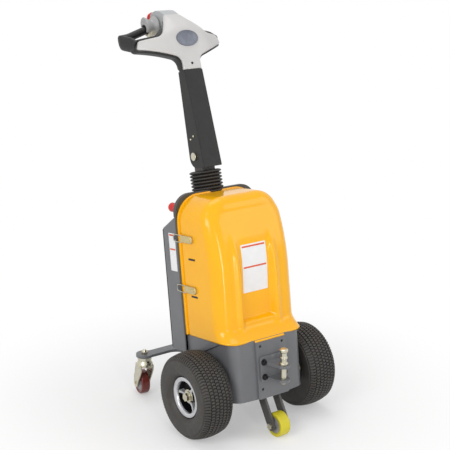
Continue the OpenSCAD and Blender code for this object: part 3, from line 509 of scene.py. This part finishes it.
def cover_shape():
    flange_end = COVER_REAR - FLANGE_W
    groove_end = flange_end - GROOVE_W
    groove_inset = FLANGE_STEP + GROOVE_DEPTH
    # Section of the flange and of the groove beside it: inset, place along Y
    section = [(0, COVER_REAR), (0, flange_end + 2), (0.8, flange_end + 0.6)]
    section += [(groove_inset, flange_end - 0.6), (groove_inset, flange_end - 2.5)]
    section += [(FLANGE_STEP, groove_end)]
    edge_start = COVER_FRONT + COVER_EDGE
    for k in range(1, SIDE_RINGS + 1):
        section.append((FLANGE_STEP, groove_end + (edge_start - groove_end) * k / SIDE_RINGS))
    rings = [cover_ring(inset, y, 0) for inset, y in section]
    for k in range(1, EDGE_RINGS + 1):
        angle = math.pi / 2 * k / EDGE_RINGS
        inset = FLANGE_STEP + COVER_EDGE * (1 - math.cos(angle))
        rings.append(cover_ring(inset, edge_start - COVER_EDGE * math.sin(angle), math.sin(angle) ** 4))
    edge_half = COVER_HALF - FLANGE_STEP - COVER_EDGE
    halves = [edge_half - CHEEK_PITCH * k for k in range(1, CHEEK_RINGS + 1)]
    halves += [TAB_HALF + TAB_SLIT, TAB_HALF - TAB_SLIT]
    halves += [TAB_HALF - MIDDLE_PITCH * k for k in range(1, MIDDLE_RINGS + 1)] + [INNER_CORNER]
    rings += [cover_ring(COVER_HALF - half, COVER_FRONT, 1) for half in halves]
    points, faces = skin(rings)
    width = len(rings[0])
    last = len(points) - width
    for k in range(width // 2):
        faces.append([last + k, last + k + 1, last + width - 2 - k, last + width - 1 - k])
    return points, [face[::-1] for face in faces]


SLOT_HEIGHTS = (286, 403)
SLOT_Y = (30, 63)
SLOT_HALF = 3
SLOT_X = (COVER_HALF - 20, COVER_HALF - FLANGE_STEP - 0.2)


def front_cover():
    cover = piece("cover_shell", cover_shape(), BODY, "yellow_shell", "chassis", ["front_cover"], 40)
    wall = cover.modifiers.new("wall", "SOLIDIFY")
    wall.thickness = COVER_WALL * MM
    wall.offset = -1
    # The side slots are not cut: black blocks stand just proud of the cover's sides, and their black is painted
    # shade for the openings.
    slots = []
    for z in SLOT_HEIGHTS:
        slot = rectangle(SLOT_Y[0], SLOT_Y[1], z - SLOT_HALF, z + SLOT_HALF, 1)
        slots.append(prism([tuple(p) for p in outline_of(slot)], *SLOT_X))
    piece("cover_slots_painted_shade", both_sides(joined(slots)), BODY, "black_plastic", "chassis")


def rectangle(x0, x1, y0, y1, r):
    return [(x0, y0, r), (x1, y0, r), (x1, y1, r), (x0, y1, r)]


LABEL_HALF = 47
LABEL_Z = (294, 443)
LABEL_PROUD = 0.5
LABEL_T, LABEL_EDGE = 0.8, 0.2
BAR_HALF = 43
BAR_DEPTH, BAR_EDGE, BAR_PROUD = 0.6, 0.1, 0.3
BAR_H = 5
BAR_HEIGHTS = (LABEL_Z[1] - 7, sum(LABEL_Z) / 2 + 4)


def on_front(x, z, d):
    return x, cover_front(x, z) - LABEL_PROUD + d, z


def on_front_proud(x, z, d):
    return on_front(x, z, d - BAR_PROUD)


def front_label():
    plate = rectangle(-LABEL_HALF, LABEL_HALF, LABEL_Z[0], LABEL_Z[1], 2)
    label = moulded(outline_of(plate), LABEL_T, LABEL_EDGE, on_front)
    piece("front_label", label, BODY, "label_white", "chassis")
    bars = []
    for z in BAR_HEIGHTS:
        bar = rectangle(-BAR_HALF, BAR_HALF, z - BAR_H / 2, z + BAR_H / 2, 0)
        bars.append(moulded(outline_of(bar), BAR_DEPTH, BAR_EDGE, on_front_proud))
    piece("front_label_bars", joined(bars), BODY, "label_orange", "chassis")


HOUSING_SIDE = -152.3
SIDE_LABEL_Y = (125, 160)
SIDE_LABEL_Z = (356, 476)
SIDE_LABEL_T, SIDE_LABEL_EDGE = 0.6, 0.15
SIDE_BAR_INSET = 3
SIDE_BAR_DEPTH, SIDE_BAR_PROUD = 0.5, 0.25
SIDE_BAR_HEIGHTS = (470, 425)


def on_side(y, z, d):
    """A place on the rear housing's left side, with y counted forwards."""
    return HOUSING_SIDE + d, -y, z


def on_side_proud(y, z, d):
    return on_side(y, z, d - SIDE_BAR_PROUD)


def side_label():
    y0, y1 = -SIDE_LABEL_Y[1], -SIDE_LABEL_Y[0]
    plate = outline_of(rectangle(y0, y1, SIDE_LABEL_Z[0], SIDE_LABEL_Z[1], 2))
    label = moulded(plate, SIDE_LABEL_T, SIDE_LABEL_EDGE, on_side)
    piece("side_label", label, BODY, "label_white", "chassis")
    bars = []
    for z in SIDE_BAR_HEIGHTS:
        bar = rectangle(y0 + SIDE_BAR_INSET, y1 - SIDE_BAR_INSET, z - BAR_H / 2, z + BAR_H / 2, 0)
        bars.append(moulded(outline_of(bar), SIDE_BAR_DEPTH, BAR_EDGE, on_side_proud))
    piece("side_label_bars", joined(bars), BODY, "label_orange", "chassis")


# Latches on the cover's sides
LATCH_HEIGHTS = (307, 465)
LATCH_Y = (30, 90)
LATCH_HALF = 11
LATCH_OUT = 157
LATCH_T = 15
LATCH_TIP_R = 9
LATCH_END_R = 4
LATCH_EDGE = 3
PAD_HALF = 5
PAD_INSET = (7, 14)
PAD_TIP_R = 4.5
PAD_END_R = 3
PAD_T, PAD_EDGE, PAD_PROUD = 3, 1.2, 1.3
BAIL_R = 1.5
BAIL_HALF = (11, 9)
BAIL_BEND_R = 4
BAIL_ALONG = (-8, 18)
KEEPER_BACK = 126


def on_right(y, z, d):
    return LATCH_OUT - d, y, z


def latch_lever(z):
    """A lever with a raised pad, pressed from one sheet."""
    y0, y1 = LATCH_Y
    low, high = z - LATCH_HALF, z + LATCH_HALF
    lever = [(y0, low, LATCH_TIP_R), (y1, low, LATCH_END_R)]
    lever += [(y1, high, LATCH_END_R), (y0, high, LATCH_TIP_R)]
    y0, y1 = y0 + PAD_INSET[0], y1 - PAD_INSET[1]
    low, high = z - PAD_HALF, z + PAD_HALF
    pad = [(y0, low, PAD_TIP_R), (y1, low, PAD_END_R), (y1, high, PAD_END_R), (y0, high, PAD_TIP_R)]
    return joined([
        moulded(outline_of(lever), LATCH_T, LATCH_EDGE, on_right),
        moulded(outline_of(pad), PAD_T, PAD_EDGE, lambda y, h, d: on_right(y, h, d - PAD_PROUD)),
    ])


def latch_bail(z):
    """A wire loop from the lever to its keeper on the rear housing."""
    x, y = LATCH_OUT - 1, LATCH_Y[1]
    wide, narrow = BAIL_HALF
    loop = [(x, y + along, z - wide) for along in BAIL_ALONG] + [(x, KEEPER_BACK, z - narrow)]
    loop += [(p[0], p[1], 2 * z - p[2]) for p in reversed(loop)]
    path = rounded_path([Vector(p) for p in loop], BAIL_BEND_R, 3)
    return tube(path, lambda t: (BAIL_R, BAIL_R), Vector((1, 0, 0.01)))


def latches():
    levers = joined([latch_lever(z) for z in LATCH_HEIGHTS])
    bails = joined([latch_bail(z) for z in LATCH_HEIGHTS])
    piece("latch_pads", both_sides(levers), BODY, "latch_steel", "chassis", ["latch_levers"])
    piece("latch_bails", both_sides(bails), BODY, "zinc", "chassis", ["latch_wires"])


# Drive tyres, drawn along Z with the outboard side up
TYRE_LOW, TYRE_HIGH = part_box("left_tyre")
TYRE_R = (TYRE_HIGH.z - TYRE_LOW.z) / 2 / MM
TYRE_HALF = (TYRE_HIGH.x - TYRE_LOW.x) / 2 / MM
SHOULDER_R = 26
CROWN_R = 150
CROWN_HALF = 50
TREAD_DEPTH = 5
TREAD_ROOT = 2
BEAD_R = 63
BEAD_HALF = 33
RIB_PITCH = 13.4
RIB_HALF = 5.5
LUG = (34.7, 50.5)
RIBS = [(RIB_PITCH * k - RIB_HALF, RIB_PITCH * k + RIB_HALF) for k in range(-2, 3)]
RIBS = [(-LUG[1], -LUG[0])] + RIBS + [LUG]
BLOCKS = 84
BLOCK_SHARE = 0.72
BLOCK_SKEW = 0.02
BLOCK_CHAMFER = (0.8, 0.9)


def tread_radius(h):
    """Radius of the tread's face at a place across the tyre."""
    crown = TYRE_R - CROWN_R + math.sqrt(CROWN_R**2 - h * h)
    past = abs(h) - (TYRE_HALF - SHOULDER_R)
    if past <= 0:
        return crown
    return min(crown, TYRE_R - SHOULDER_R + math.sqrt(max(0, SHOULDER_R**2 - past * past)))


def carcass_profile():
    """The tyre's section under its tread, from one bead to the other."""
    crown = [(tread_radius(h) - TREAD_DEPTH, h) for h in range(-CROWN_HALF, CROWN_HALF + 1, 4)]
    inner, outer, out = BEAD_R + SHOULDER_R, TYRE_R - SHOULDER_R, TYRE_HALF - SHOULDER_R
    wall = []
    for start, degrees in ((outer, (14, 2)), (inner, range(0, -96, -12))):
        for turn in (math.radians(d) for d in degrees):
            wall.append((start + SHOULDER_R * math.sin(turn), out + SHOULDER_R * math.cos(turn)))
    wall += [(BEAD_R + 1, BEAD_HALF + 6), (BEAD_R - 1, BEAD_HALF + 1), (BEAD_R - 4, BEAD_HALF)]
    mirror = [(r, -h) for r, h in reversed(wall)]
    return mirror + crown + wall


def tread_block(rib, turn, span):
    """A block of the tread, bent along the tyre, that covers a span to each side of a turn."""
    h0, h1 = rib
    down, trim_in = BLOCK_CHAMFER
    rows = []
    for depth, trim in ((TREAD_DEPTH + TREAD_ROOT, 0), (down, 0), (0, trim_in)):
        across = (h0 + trim, (h0 + h1) / 2, h1 - trim)
        ring = []
        for h, a in [(h, -span) for h in across] + [(h, span) for h in reversed(across)]:
            skew = BLOCK_SKEW * math.sin(math.pi * (h - h0) / (h1 - h0))
            turned_by = turn + skew + a - math.copysign(trim / TYRE_R, a)
            r = tread_radius(h) - depth
            ring.append((r * math.cos(turned_by), r * math.sin(turned_by), h))
        rows.append(ring)
    return capped(rows)


def tyre_shape():
    step = 2 * math.pi / BLOCKS
    blocks = []
    for j, rib in enumerate(RIBS):
        for k in range(BLOCKS):
            blocks.append(tread_block(rib, step * (k + 0.5 * (j % 2)), step * BLOCK_SHARE / 2))
    return joined([revolved(carcass_profile(), 120)] + blocks)


def wheel_place(side):
    spin = Vector(JOINTS[side + "_wheel_spin"]["pos_m"])
    turn = -90 if side == "left" else 90
    return Matrix.Translation(spin) @ Matrix.Rotation(math.radians(turn), 4, "Y") @ TO_METRES


LIP_R = 63
LIP_IN = 49
LIP_FACE = 39
# Section of the rim's lip: radius, height over its face
LIP = [(LIP_IN - 1, -9), (LIP_IN, -3), (LIP_IN + 2, 0), (LIP_IN + 6, 1.6), (LIP_R - 3, 2.2)]
LIP += [(LIP_R, 1.4), (LIP_R + 1.2, -1), (LIP_R + 0.4, -5), (LIP_R - 6, -9)]
BARREL_HALF = LIP_FACE - 6
SPOKE_TURNS = (90, 210, 330)
# Sections of a spoke: distance from the axle, half width, heights of its foot and of its crest
SPOKE = ((18, 8, 8, 28), (30, 5, 10, 26), (42, 4.5, 12, 27), (LIP_IN + 2, 7, 12, 31))
CREST_SHARE = 0.7
VALVE = [(0.1, 0), (3.2, 0), (3.2, 10), (2.4, 12), (2.4, 22), (0.1, 23)]
VALVE_AT = (0, -41, 22)
VALVE_LEAN = 15


def rim_lip():
    return revolved([(r, LIP_FACE + h) for r, h in LIP], 96)


def rim_barrel():
    outside = [(LIP_R - 1, -BARREL_HALF), (LIP_R - 6, 0), (LIP_R - 1, BARREL_HALF)]
    return revolved([(LIP_IN, -BARREL_HALF)] + outside + [(LIP_IN, BARREL_HALF)], 64)


def rim_spokes():
    rows = []
    for r, half, low, high in SPOKE:
        crest = half * CREST_SHARE
        rows.append([(r, -half, low), (r, half, low), (r, crest, high), (r, -crest, high)])
    spoke = capped(rows)
    return joined([moved(spoke, Matrix.Rotation(math.radians(turn), 4, "Z")) for turn in SPOKE_TURNS])


def wheels():
    tyre = tyre_shape()
    lean = Matrix.Rotation(math.radians(-VALVE_LEAN), 4, "X")
    valve = moved(revolved(VALVE, 16), Matrix.Translation(VALVE_AT) @ lean)
    for side in ("left", "right"):
        body = side + "_wheel"
        place = wheel_place(side)
        piece(side + "_treaded_tyre", tyre, place, "tyre", body, [side + "_tyre"], 30)
        soften(piece(side + "_bright_rim", rim_lip(), place, "rim_metal", body, [side + "_rim"]), 0.8)
        soften(piece(side + "_rim_spokes", rim_spokes(), place, "cast_alloy", body), 0.8)
        # The barrel inside the rim is bright metal on the real wheel; its dark steel here is painted shade for the
        # dark inside of the rim.
        piece(side + "_rim_barrel_painted_shade", rim_barrel(), place, "dark_steel", body)
        piece(side + "_valve", valve, place, "black_rubber", body)


# Bellows round the tiller's post
BELLOWS_AT = (145, 581)
BELLOWS_LEAN = 14.5
BELLOWS_R = 51
BELLOWS_IN = 36
BELLOWS_H = 72
FOLDS = 7
FOLD_DEPTH = 9
FOLD_STEPS = 10
FOLD_POWER = 0.7


def bellows():
    steps = FOLD_STEPS * FOLDS
    outside = []
    for k in range(steps + 1):
        wave = abs(math.sin(math.pi * k / FOLD_STEPS))
        outside.append((BELLOWS_R - FOLD_DEPTH * (1 - wave**FOLD_POWER), BELLOWS_H * k / steps))
    folds = revolved([(BELLOWS_IN, 0)] + outside + [(BELLOWS_IN, BELLOWS_H)], 64)
    lean = Matrix.Rotation(math.radians(BODY_LEAN - BELLOWS_LEAN), 4, "X")
    place = Matrix.Translation((0, BELLOWS_AT[0], BELLOWS_AT[1])) @ lean
    piece("bellows_folds", moved(folds, place), BODY, "black_rubber", "chassis", ["bellows"])


# Tiller head, in the tiller's frame: x across, v back from the pivot, w up the column
FACE_V = -45
FACE_HALF = 46
HEAD_FOOT = 268.5
CAP_SEAM = 459
SHELL_T = 9
BASE_T = 38
BONNET_FROM = 375
BONNET_BACK = 57
BONNET_POWER = 1.8
WING_SWEEP = 0.0037
SHOULDER_FROM = 20
SHOULDER_SWEEP = 0.0066
SHOULDER_AT = 420
SHOULDER_FADE = 19
# Right halves of the outlines of the head's shell and of the base behind it: x, w, corner radius
SHELL_SIDE = [(33, HEAD_FOOT, 2), (33, 308, 26), (157, 353.5, 6), (147, 379, 8), (84, 381, 32)]
SHELL_SIDE += [(43, 438, 3), (28, CAP_SEAM, 4)]
BASE_SIDE = [(34, HEAD_FOOT + 0.1, 14), (34, 303, 28), (162, 348.5, 14), (152, 387.5, 14)]
BASE_SIDE += [(92, 387.5, 30), (58, 412, 14)]
# Section of the neck between the base and the throttle: v, w
NECK = [(FACE_V + 8, HEAD_FOOT), (-10, HEAD_FOOT), (20, 400), (30, 440), (10, 446), (-22, 424)]
NECK += [(FACE_V + 8, 400)]
NECK_HALF = 31
SCREW_W = 287
HEAD_SCREW = (8, 2.2)


def head_v(x, w):
    """How far back the head's front lies: flat face, wings that sweep back and round shoulders."""
    x = abs(x)
    bonnet = BONNET_BACK * (max(0, w - BONNET_FROM) / (CAP_SEAM - BONNET_FROM)) ** BONNET_POWER
    wing = WING_SWEEP * max(0, x - FACE_HALF) ** 2
    curl = SHOULDER_SWEEP * math.exp((w - SHOULDER_AT) / SHOULDER_FADE)
    return FACE_V + bonnet + wing + curl * max(0, x - SHOULDER_FROM) ** 2


def on_head(x, w, d):
    return x, head_v(x, w) + d, w


def mirrored_outline(right):
    return outline_of(right + [(-x, y, r) for x, y, r in reversed(right)])


def on_base(x, w, d):
    return on_head(x, w, d + SHELL_T - 1)


def head_shells():
    shell = moulded(mirrored_outline(SHELL_SIDE), SHELL_T, 3, on_head, 6)
    piece("head_shell", shell, TILLER, "head_shell", "tiller", ["head_cover"], 50)
    base = moulded(mirrored_outline(BASE_SIDE), BASE_T, 2, on_base, 7, 12)
    back = joined([base, prism(NECK, -NECK_HALF, NECK_HALF)])
    piece("head_back", back, TILLER, "black_plastic", "tiller", ["head_base"], 50)
    screw = moved(dome_head(*HEAD_SCREW), turned(0, FACE_V - 0.4, SCREW_W, (0, -1, 0)))
    piece("head_screw", screw, TILLER, "dark_steel", "tiller")
    head_badge()


BADGE_HALF = (40, 26)
BADGE_W = 367
# Section of the badge from its edge to its middle: share of its size, rise over the head's face
BADGE = ((1, -0.5), (1, 2.2), (0.97, 2.8), (0.93, 2.8), (0.91, 2.0), (0.5, 2.2), (0.02, 2.3))


def head_badge():
    """A bare oval plate with a raised rim."""
    turns = [2 * math.pi * k / 64 for k in range(64)]
    rows = []
    for scale, rise in BADGE:
        wide, high = BADGE_HALF[0] * scale, BADGE_HALF[1] * scale
        rows.append([on_head(wide * math.cos(a), BADGE_W + high * math.sin(a), -rise) for a in turns])
    piece("head_badge", capped(rows), TILLER, "disc_metal", "tiller", ["head_disc"])


DRUM = (82, 432)
DRUM_R = 25
DRUM_HALF = 58
CAP_HALF = 28
# Side of the throttle's cap: v, w, corner radius
CAP = [(8, 448, 2), (22, 438, 4), (52, 428, 6), (62, 414, 8), (104, 420, 10), (114, 440, 8)]
CAP += [(112, 470, 10), (92, 485, 14), (62, 486, 16), (38, 478, 16), (15.5, 460.3, 2)]
BELLY_HALF = 33
BELLY_W = (440, 488)
BELLY_V = 120
BELLY_T = 14
BELLY_BEND = 0.012
BELLY_BEND_FROM = 450


def on_belly(x, w, d):
    """A place on the belly button, whose face points back and bends forwards at its top."""
    return -x, BELLY_V - d - BELLY_BEND * max(0, w - BELLY_BEND_FROM) ** 2, w


def throttle():
    side = [(p.x, p.y) for p in outline_of(CAP)]
    cap = prism(side, -CAP_HALF, CAP_HALF)
    soften(piece("throttle_cap", cap, TILLER, "cap_plastic", "tiller", ["throttle_housing"]), 4, 4)
    end = [(DRUM_R, DRUM_HALF - 4), (DRUM_R - 3, DRUM_HALF), (0.1, DRUM_HALF)]
    drum = [(r, -h) for r, h in reversed(end)] + [(DRUM_R + 0.5, 0)] + end
    lying = Matrix.Translation((0, DRUM[0], DRUM[1])) @ Matrix.Rotation(math.radians(90), 4, "Y")
    piece("throttle_drum", moved(revolved(drum, 48), lying), TILLER, "cream_plastic", "tiller")
    piece("thumb_paddles", both_sides(paddle()), TILLER, "paddle_plastic", "tiller", ["throttle_paddles"])
    corners = rectangle(-BELLY_HALF, BELLY_HALF, BELLY_W[0], BELLY_W[1], 9)
    button = moulded(outline_of(corners), BELLY_T, 5, on_belly)
    piece("belly_pad", button, TILLER, "red_plastic", "tiller", ["belly_button"])


GRIP_R = 13
PADDLE_X = (30, 70)
PADDLE_IN = GRIP_R + 3
PADDLE_T = 14
PADDLE_FROM = 45
PADDLE_SWEEP = 175
PADDLE_EASE = 4
PADDLE_ROUND = 0.14
PADDLE_END = 0.25
PADDLE_POWER = 0.4
HUB_RISE = 13
HUB_SHARE = 0.45
TIP_RISE = 12
TIP_FROM, TIP_SPAN = 0.4, 0.5
TIP_AT = 88
TIP_WIDE = 36
PADDLE_ROWS = 24
PADDLE_TURNS = 20


def paddle_radius(t, a):
    """Outer radius of a paddle at a share of its length and at an angle in degrees about the drum."""
    past = max(0, abs(2 * t - 1) - (1 - PADDLE_ROUND)) / PADDLE_ROUND
    ends = math.sqrt(max(0, 1 - past**2))
    hub = HUB_RISE * (1 - smooth(t / HUB_SHARE))
    tip = TIP_RISE * smooth((t - TIP_FROM) / TIP_SPAN) * math.exp(-(((a - TIP_AT) / TIP_WIDE) ** 2))
    round_share = (a - PADDLE_FROM + PADDLE_EASE) / (PADDLE_SWEEP + 2 * PADDLE_EASE)
    edge = math.sin(math.pi * round_share) ** PADDLE_POWER
    return PADDLE_IN + (PADDLE_T + hub + tip) * edge * (PADDLE_END + (1 - PADDLE_END) * ends)


def paddle():
    """A thumb lever: a sleeve over the drum's front whose outer end flares up into a tip."""
    angles = [PADDLE_FROM + PADDLE_SWEEP * j / PADDLE_TURNS for j in range(PADDLE_TURNS + 1)]
    rows = []
    for k in range(PADDLE_ROWS + 1):
        t = k / PADDLE_ROWS
        x = PADDLE_X[0] + (PADDLE_X[1] - PADDLE_X[0]) * t
        ring = [(paddle_radius(t, a), math.radians(a)) for a in angles]
        ring += [(PADDLE_IN, math.radians(a)) for a in reversed(angles)]
        rows.append([(x, DRUM[0] + r * math.cos(a), DRUM[1] + r * math.sin(a)) for r, a in ring])
    return capped(rows)


LOOP_START = Vector((DRUM_HALF - 4, 83, 433))
LOOP_CORNER = Vector((155, 109, 404))
LOOP_END = Vector((148, 16, 366))
LOOP_BEND_R = 24
LOOP_THIN = 2
LOOP_RISE = 10.5
LOOP_DROP = 0.6
TALL_FROM, TALL_SPAN = 0.36, 0.22
DROP_FROM, DROP_SPAN = 0.8, 0.2
COLLAR_SHARE = 0.09
COLLAR_R = GRIP_R + 2


def loop_section(t):
    """Half width and half height of a hand loop: a round grip that runs into a tall bar along the wing."""
    tall = smooth((t - TALL_FROM) / TALL_SPAN)
    end = smooth((t - DROP_FROM) / DROP_SPAN)
    return GRIP_R - LOOP_THIN * tall, GRIP_R + LOOP_RISE * tall * (1 - LOOP_DROP * end)


def grips():
    loop = tube(rounded_path([LOOP_START, LOOP_CORNER, LOOP_END], LOOP_BEND_R), loop_section)
    collar_end = LOOP_START.lerp(LOOP_CORNER, COLLAR_SHARE)
    collar = tube([LOOP_START, collar_end], lambda t: (COLLAR_R, COLLAR_R))
    loops = both_sides(joined([loop, collar]))
    piece("grip_loops", loops, TILLER, "black_plastic", "tiller", ["hand_grips"], 50)


# Small fasteners: width and height of each kind, and their places
CLEVIS_BOLT = (13, 8)
COLUMN_RIVET = (7, 2)
PANEL_SCREW = (9, 2.5)
CLEVIS_FRONT = -135
CLEVIS_BOLTS = [(x, z) for x in (-38, 38) for z in (43, 89)]
COLUMN_SIDE = -33
COLUMN_RIVETS = ((-16, 62), (2, 55))
PANEL_BACK = 193
PANEL_SCREWS = [(x, z) for x in (-138, 138) for z in (115, 290, 470)]


def fasteners():
    front, back, left = (0, -1, 0), (0, 1, 0), (-1, 0, 0)
    bolts = [moved(hex_bolt(*CLEVIS_BOLT), turned(x, CLEVIS_FRONT, z, front)) for x, z in CLEVIS_BOLTS]
    piece("clevis_bolts", joined(bolts), BODY, "dark_steel", "chassis")
    rivets = [moved(dome_head(*COLUMN_RIVET), turned(COLUMN_SIDE, v, w, left)) for v, w in COLUMN_RIVETS]
    piece("column_rivets", both_sides(joined(rivets)), TILLER, "zinc", "tiller")
    screws = [moved(dome_head(*PANEL_SCREW), turned(x, PANEL_BACK, z, back)) for x, z in PANEL_SCREWS]
    piece("panel_screws", joined(screws), BODY, "zinc", "chassis")


# Solids that show as they are: width of their soft edges, and the finish of one that differs from its slot
SOFT_EDGES = {
    0.5: ["hitch_pin", "key_switch"],
    0.6: ["roller_axle", "caster_stems", "left_hub", "right_hub"],
    0.8: ["hitch_plate", "roller_core", "rear_panel", "charge_gauge", "tiller_pivot"]
    + [side + "_caster_" + part for side in ("left", "right") for part in ("fork", "core")],
    1.0: ["hitch_clevis", "tiller_post", "column_cover", "caster_beam"],
    1.2: ["roller_fork", "bulkhead", "tiller_column"],
    1.5: ["transaxle", "rear_housing"],
    1.6: ["chassis_tub"],
    2: ["battery_block"],
    2.5: ["dash_box"],
}
REPAINTED = {"hitch_clevis": "grey_paint"}


def dress_solids():
    slot_of = {row["node"]: row["material_slot"] for row in frame["record"]["subparts"]}
    edge_of = {node: width for width, nodes in SOFT_EDGES.items() for node in nodes}
    for node, obj in frame["nodes"].items():
        obj.data.materials.clear()
        obj.data.materials.append(FINISHES[REPAINTED.get(node, slot_of[node])])
        if "custom_normal" in obj.data.attributes:
            obj.data.attributes.remove(obj.data.attributes["custom_normal"])
        obj.data.shade_smooth()
        weld = obj.modifiers.new("weld", "WELD")
        weld.merge_threshold = WELD_REACH
        if node in edge_of:
            flat = obj.modifiers.new("flat", "DECIMATE")
            flat.decimate_type = "DISSOLVE"
            flat.angle_limit = math.radians(1)
            soften(obj, edge_of[node])


# Floor, light and camera
CAMERA_FROM_AXLE = Vector((-1.9513, -2.5389, 1.5404))
CAMERA_AZIMUTH = 36.196
CAMERA_ELEVATION = 15.769
CAMERA_LENS = 88.0
CAMERA_SENSOR = 36
FLOOR_HALF = 14
FLOOR_COLOUR = (0.94, 0.94, 0.94, 1)
FLOOR_LIFT = 0.35
FLOOR_FADE = (0.3, 1.0)
WHITE = (1, 1, 1, 1)
SKY_STRENGTH = 0.5
# Columns: name, place, target, size, power
LAMPS = (
    ("key", (-3.4, -1.4, 2.6), (0, 0, 0.6), (2.2, 2.2), 58),
    ("fill", (3.0, -2.6, 2.2), (0, 0, 0.6), (2.6, 2.6), 24),
    ("top", (0.3, 0.6, 4.2), (0, 0, 0.5), (3.0, 3.0), 42),
    ("strip", (-1.0, -3.3, 1.0), (0, 0, 0.7), (0.12, 2.4), 20),
)


def seen_rays(tree):
    """One for rays that show the surroundings themselves or their mirror image."""
    rays = tree.nodes.new("ShaderNodeLightPath")
    seen = rays.outputs["Is Camera Ray"]
    for name in ("Is Glossy Ray", "Is Transmission Ray"):
        either = tree.nodes.new("ShaderNodeMath")
        either.operation = "MAXIMUM"
        tree.links.new(seen, either.inputs[0])
        tree.links.new(rays.outputs[name], either.inputs[1])
        seen = either.outputs["Value"]
    return seen


def stage():
    """A pale floor that fades to the white of the background away from the object."""
    mesh = bpy.data.meshes.new("floor")
    corners = [(x * FLOOR_HALF, y * FLOOR_HALF, 0) for x, y in ((-1, -1), (1, -1), (1, 1), (-1, 1))]
    mesh.from_pydata(corners, [], [(0, 1, 2, 3)])
    floor = bpy.data.objects.new("floor", mesh)
    bpy.context.scene.collection.objects.link(floor)
    pale = bpy.data.materials.new("pale_floor")
    pale.use_nodes = True
    tree = pale.node_tree
    matt = tree.nodes["Principled BSDF"]
    matt.inputs["Base Color"].default_value = FLOOR_COLOUR
    matt.inputs["Roughness"].default_value = 0.9
    matt.inputs["Specular IOR Level"].default_value = 0.1
    white = tree.nodes.new("ShaderNodeEmission")
    place = tree.nodes.new("ShaderNodeNewGeometry")
    reach = tree.nodes.new("ShaderNodeVectorMath")
    reach.operation = "LENGTH"
    fade = tree.nodes.new("ShaderNodeMapRange")
    fade.interpolation_type = "SMOOTHSTEP"
    spans = ("From Min", FLOOR_FADE[0]), ("From Max", FLOOR_FADE[1]), ("To Min", FLOOR_LIFT), ("To Max", 1)
    for name, value in spans:
        fade.inputs[name].default_value = value
    share = tree.nodes.new("ShaderNodeMath")
    share.operation = "MULTIPLY"
    either = tree.nodes.new("ShaderNodeMixShader")
    tree.links.new(place.outputs["Position"], reach.inputs[0])
    tree.links.new(reach.outputs["Value"], fade.inputs["Value"])
    tree.links.new(fade.outputs["Result"], share.inputs[0])
    tree.links.new(seen_rays(tree), share.inputs[1])
    tree.links.new(share.outputs["Value"], either.inputs["Fac"])
    tree.links.new(matt.outputs["BSDF"], either.inputs[1])
    tree.links.new(white.outputs["Emission"], either.inputs[2])
    tree.links.new(either.outputs["Shader"], tree.nodes["Material Output"].inputs["Surface"])
    mesh.materials.append(pale)


def lamp(name, place, target, size, power):
    light = bpy.data.lights.new(name, "AREA")
    light.shape = "ELLIPSE"
    light.size, light.size_y = size
    light.energy = power
    obj = bpy.data.objects.new(name, light)
    obj.location = place
    obj.rotation_euler = (Vector(target) - Vector(place)).to_track_quat("-Z", "Y").to_euler()
    obj.visible_camera = False
    bpy.context.scene.collection.objects.link(obj)


def lights():
    for row in LAMPS:
        lamp(*row)
    world = bpy.data.worlds.new("studio")
    world.use_nodes = True
    tree = world.node_tree
    sky = tree.nodes["Background"]
    sky.inputs["Color"].default_value = WHITE
    sky.inputs["Strength"].default_value = SKY_STRENGTH
    white = tree.nodes.new("ShaderNodeBackground")
    white.inputs["Color"].default_value = WHITE
    white.inputs["Strength"].default_value = 1.0
    either = tree.nodes.new("ShaderNodeMixShader")
    tree.links.new(seen_rays(tree), either.inputs["Fac"])
    tree.links.new(sky.outputs["Background"], either.inputs[1])
    tree.links.new(white.outputs["Background"], either.inputs[2])
    tree.links.new(either.outputs["Shader"], tree.nodes["World Output"].inputs["Surface"])
    bpy.context.scene.world = world


def camera():
    data = bpy.data.cameras.new("camera")
    data.lens = CAMERA_LENS
    data.sensor_width = CAMERA_SENSOR
    obj = bpy.data.objects.new("camera", data)
    obj.location = CAMERA_FROM_AXLE + Vector((0, AXLE.y, 0))
    obj.rotation_euler = (math.radians(90 - CAMERA_ELEVATION), 0, math.radians(-CAMERA_AZIMUTH))
    bpy.context.scene.collection.objects.link(obj)
    bpy.context.scene.camera = obj
    bpy.context.scene.view_settings.view_transform = "Standard"


camera()
lights()
stage()
front_cover()
front_label()
side_label()
latches()
wheels()
bellows()
head_shells()
throttle()
grips()
fasteners()
dress_solids()
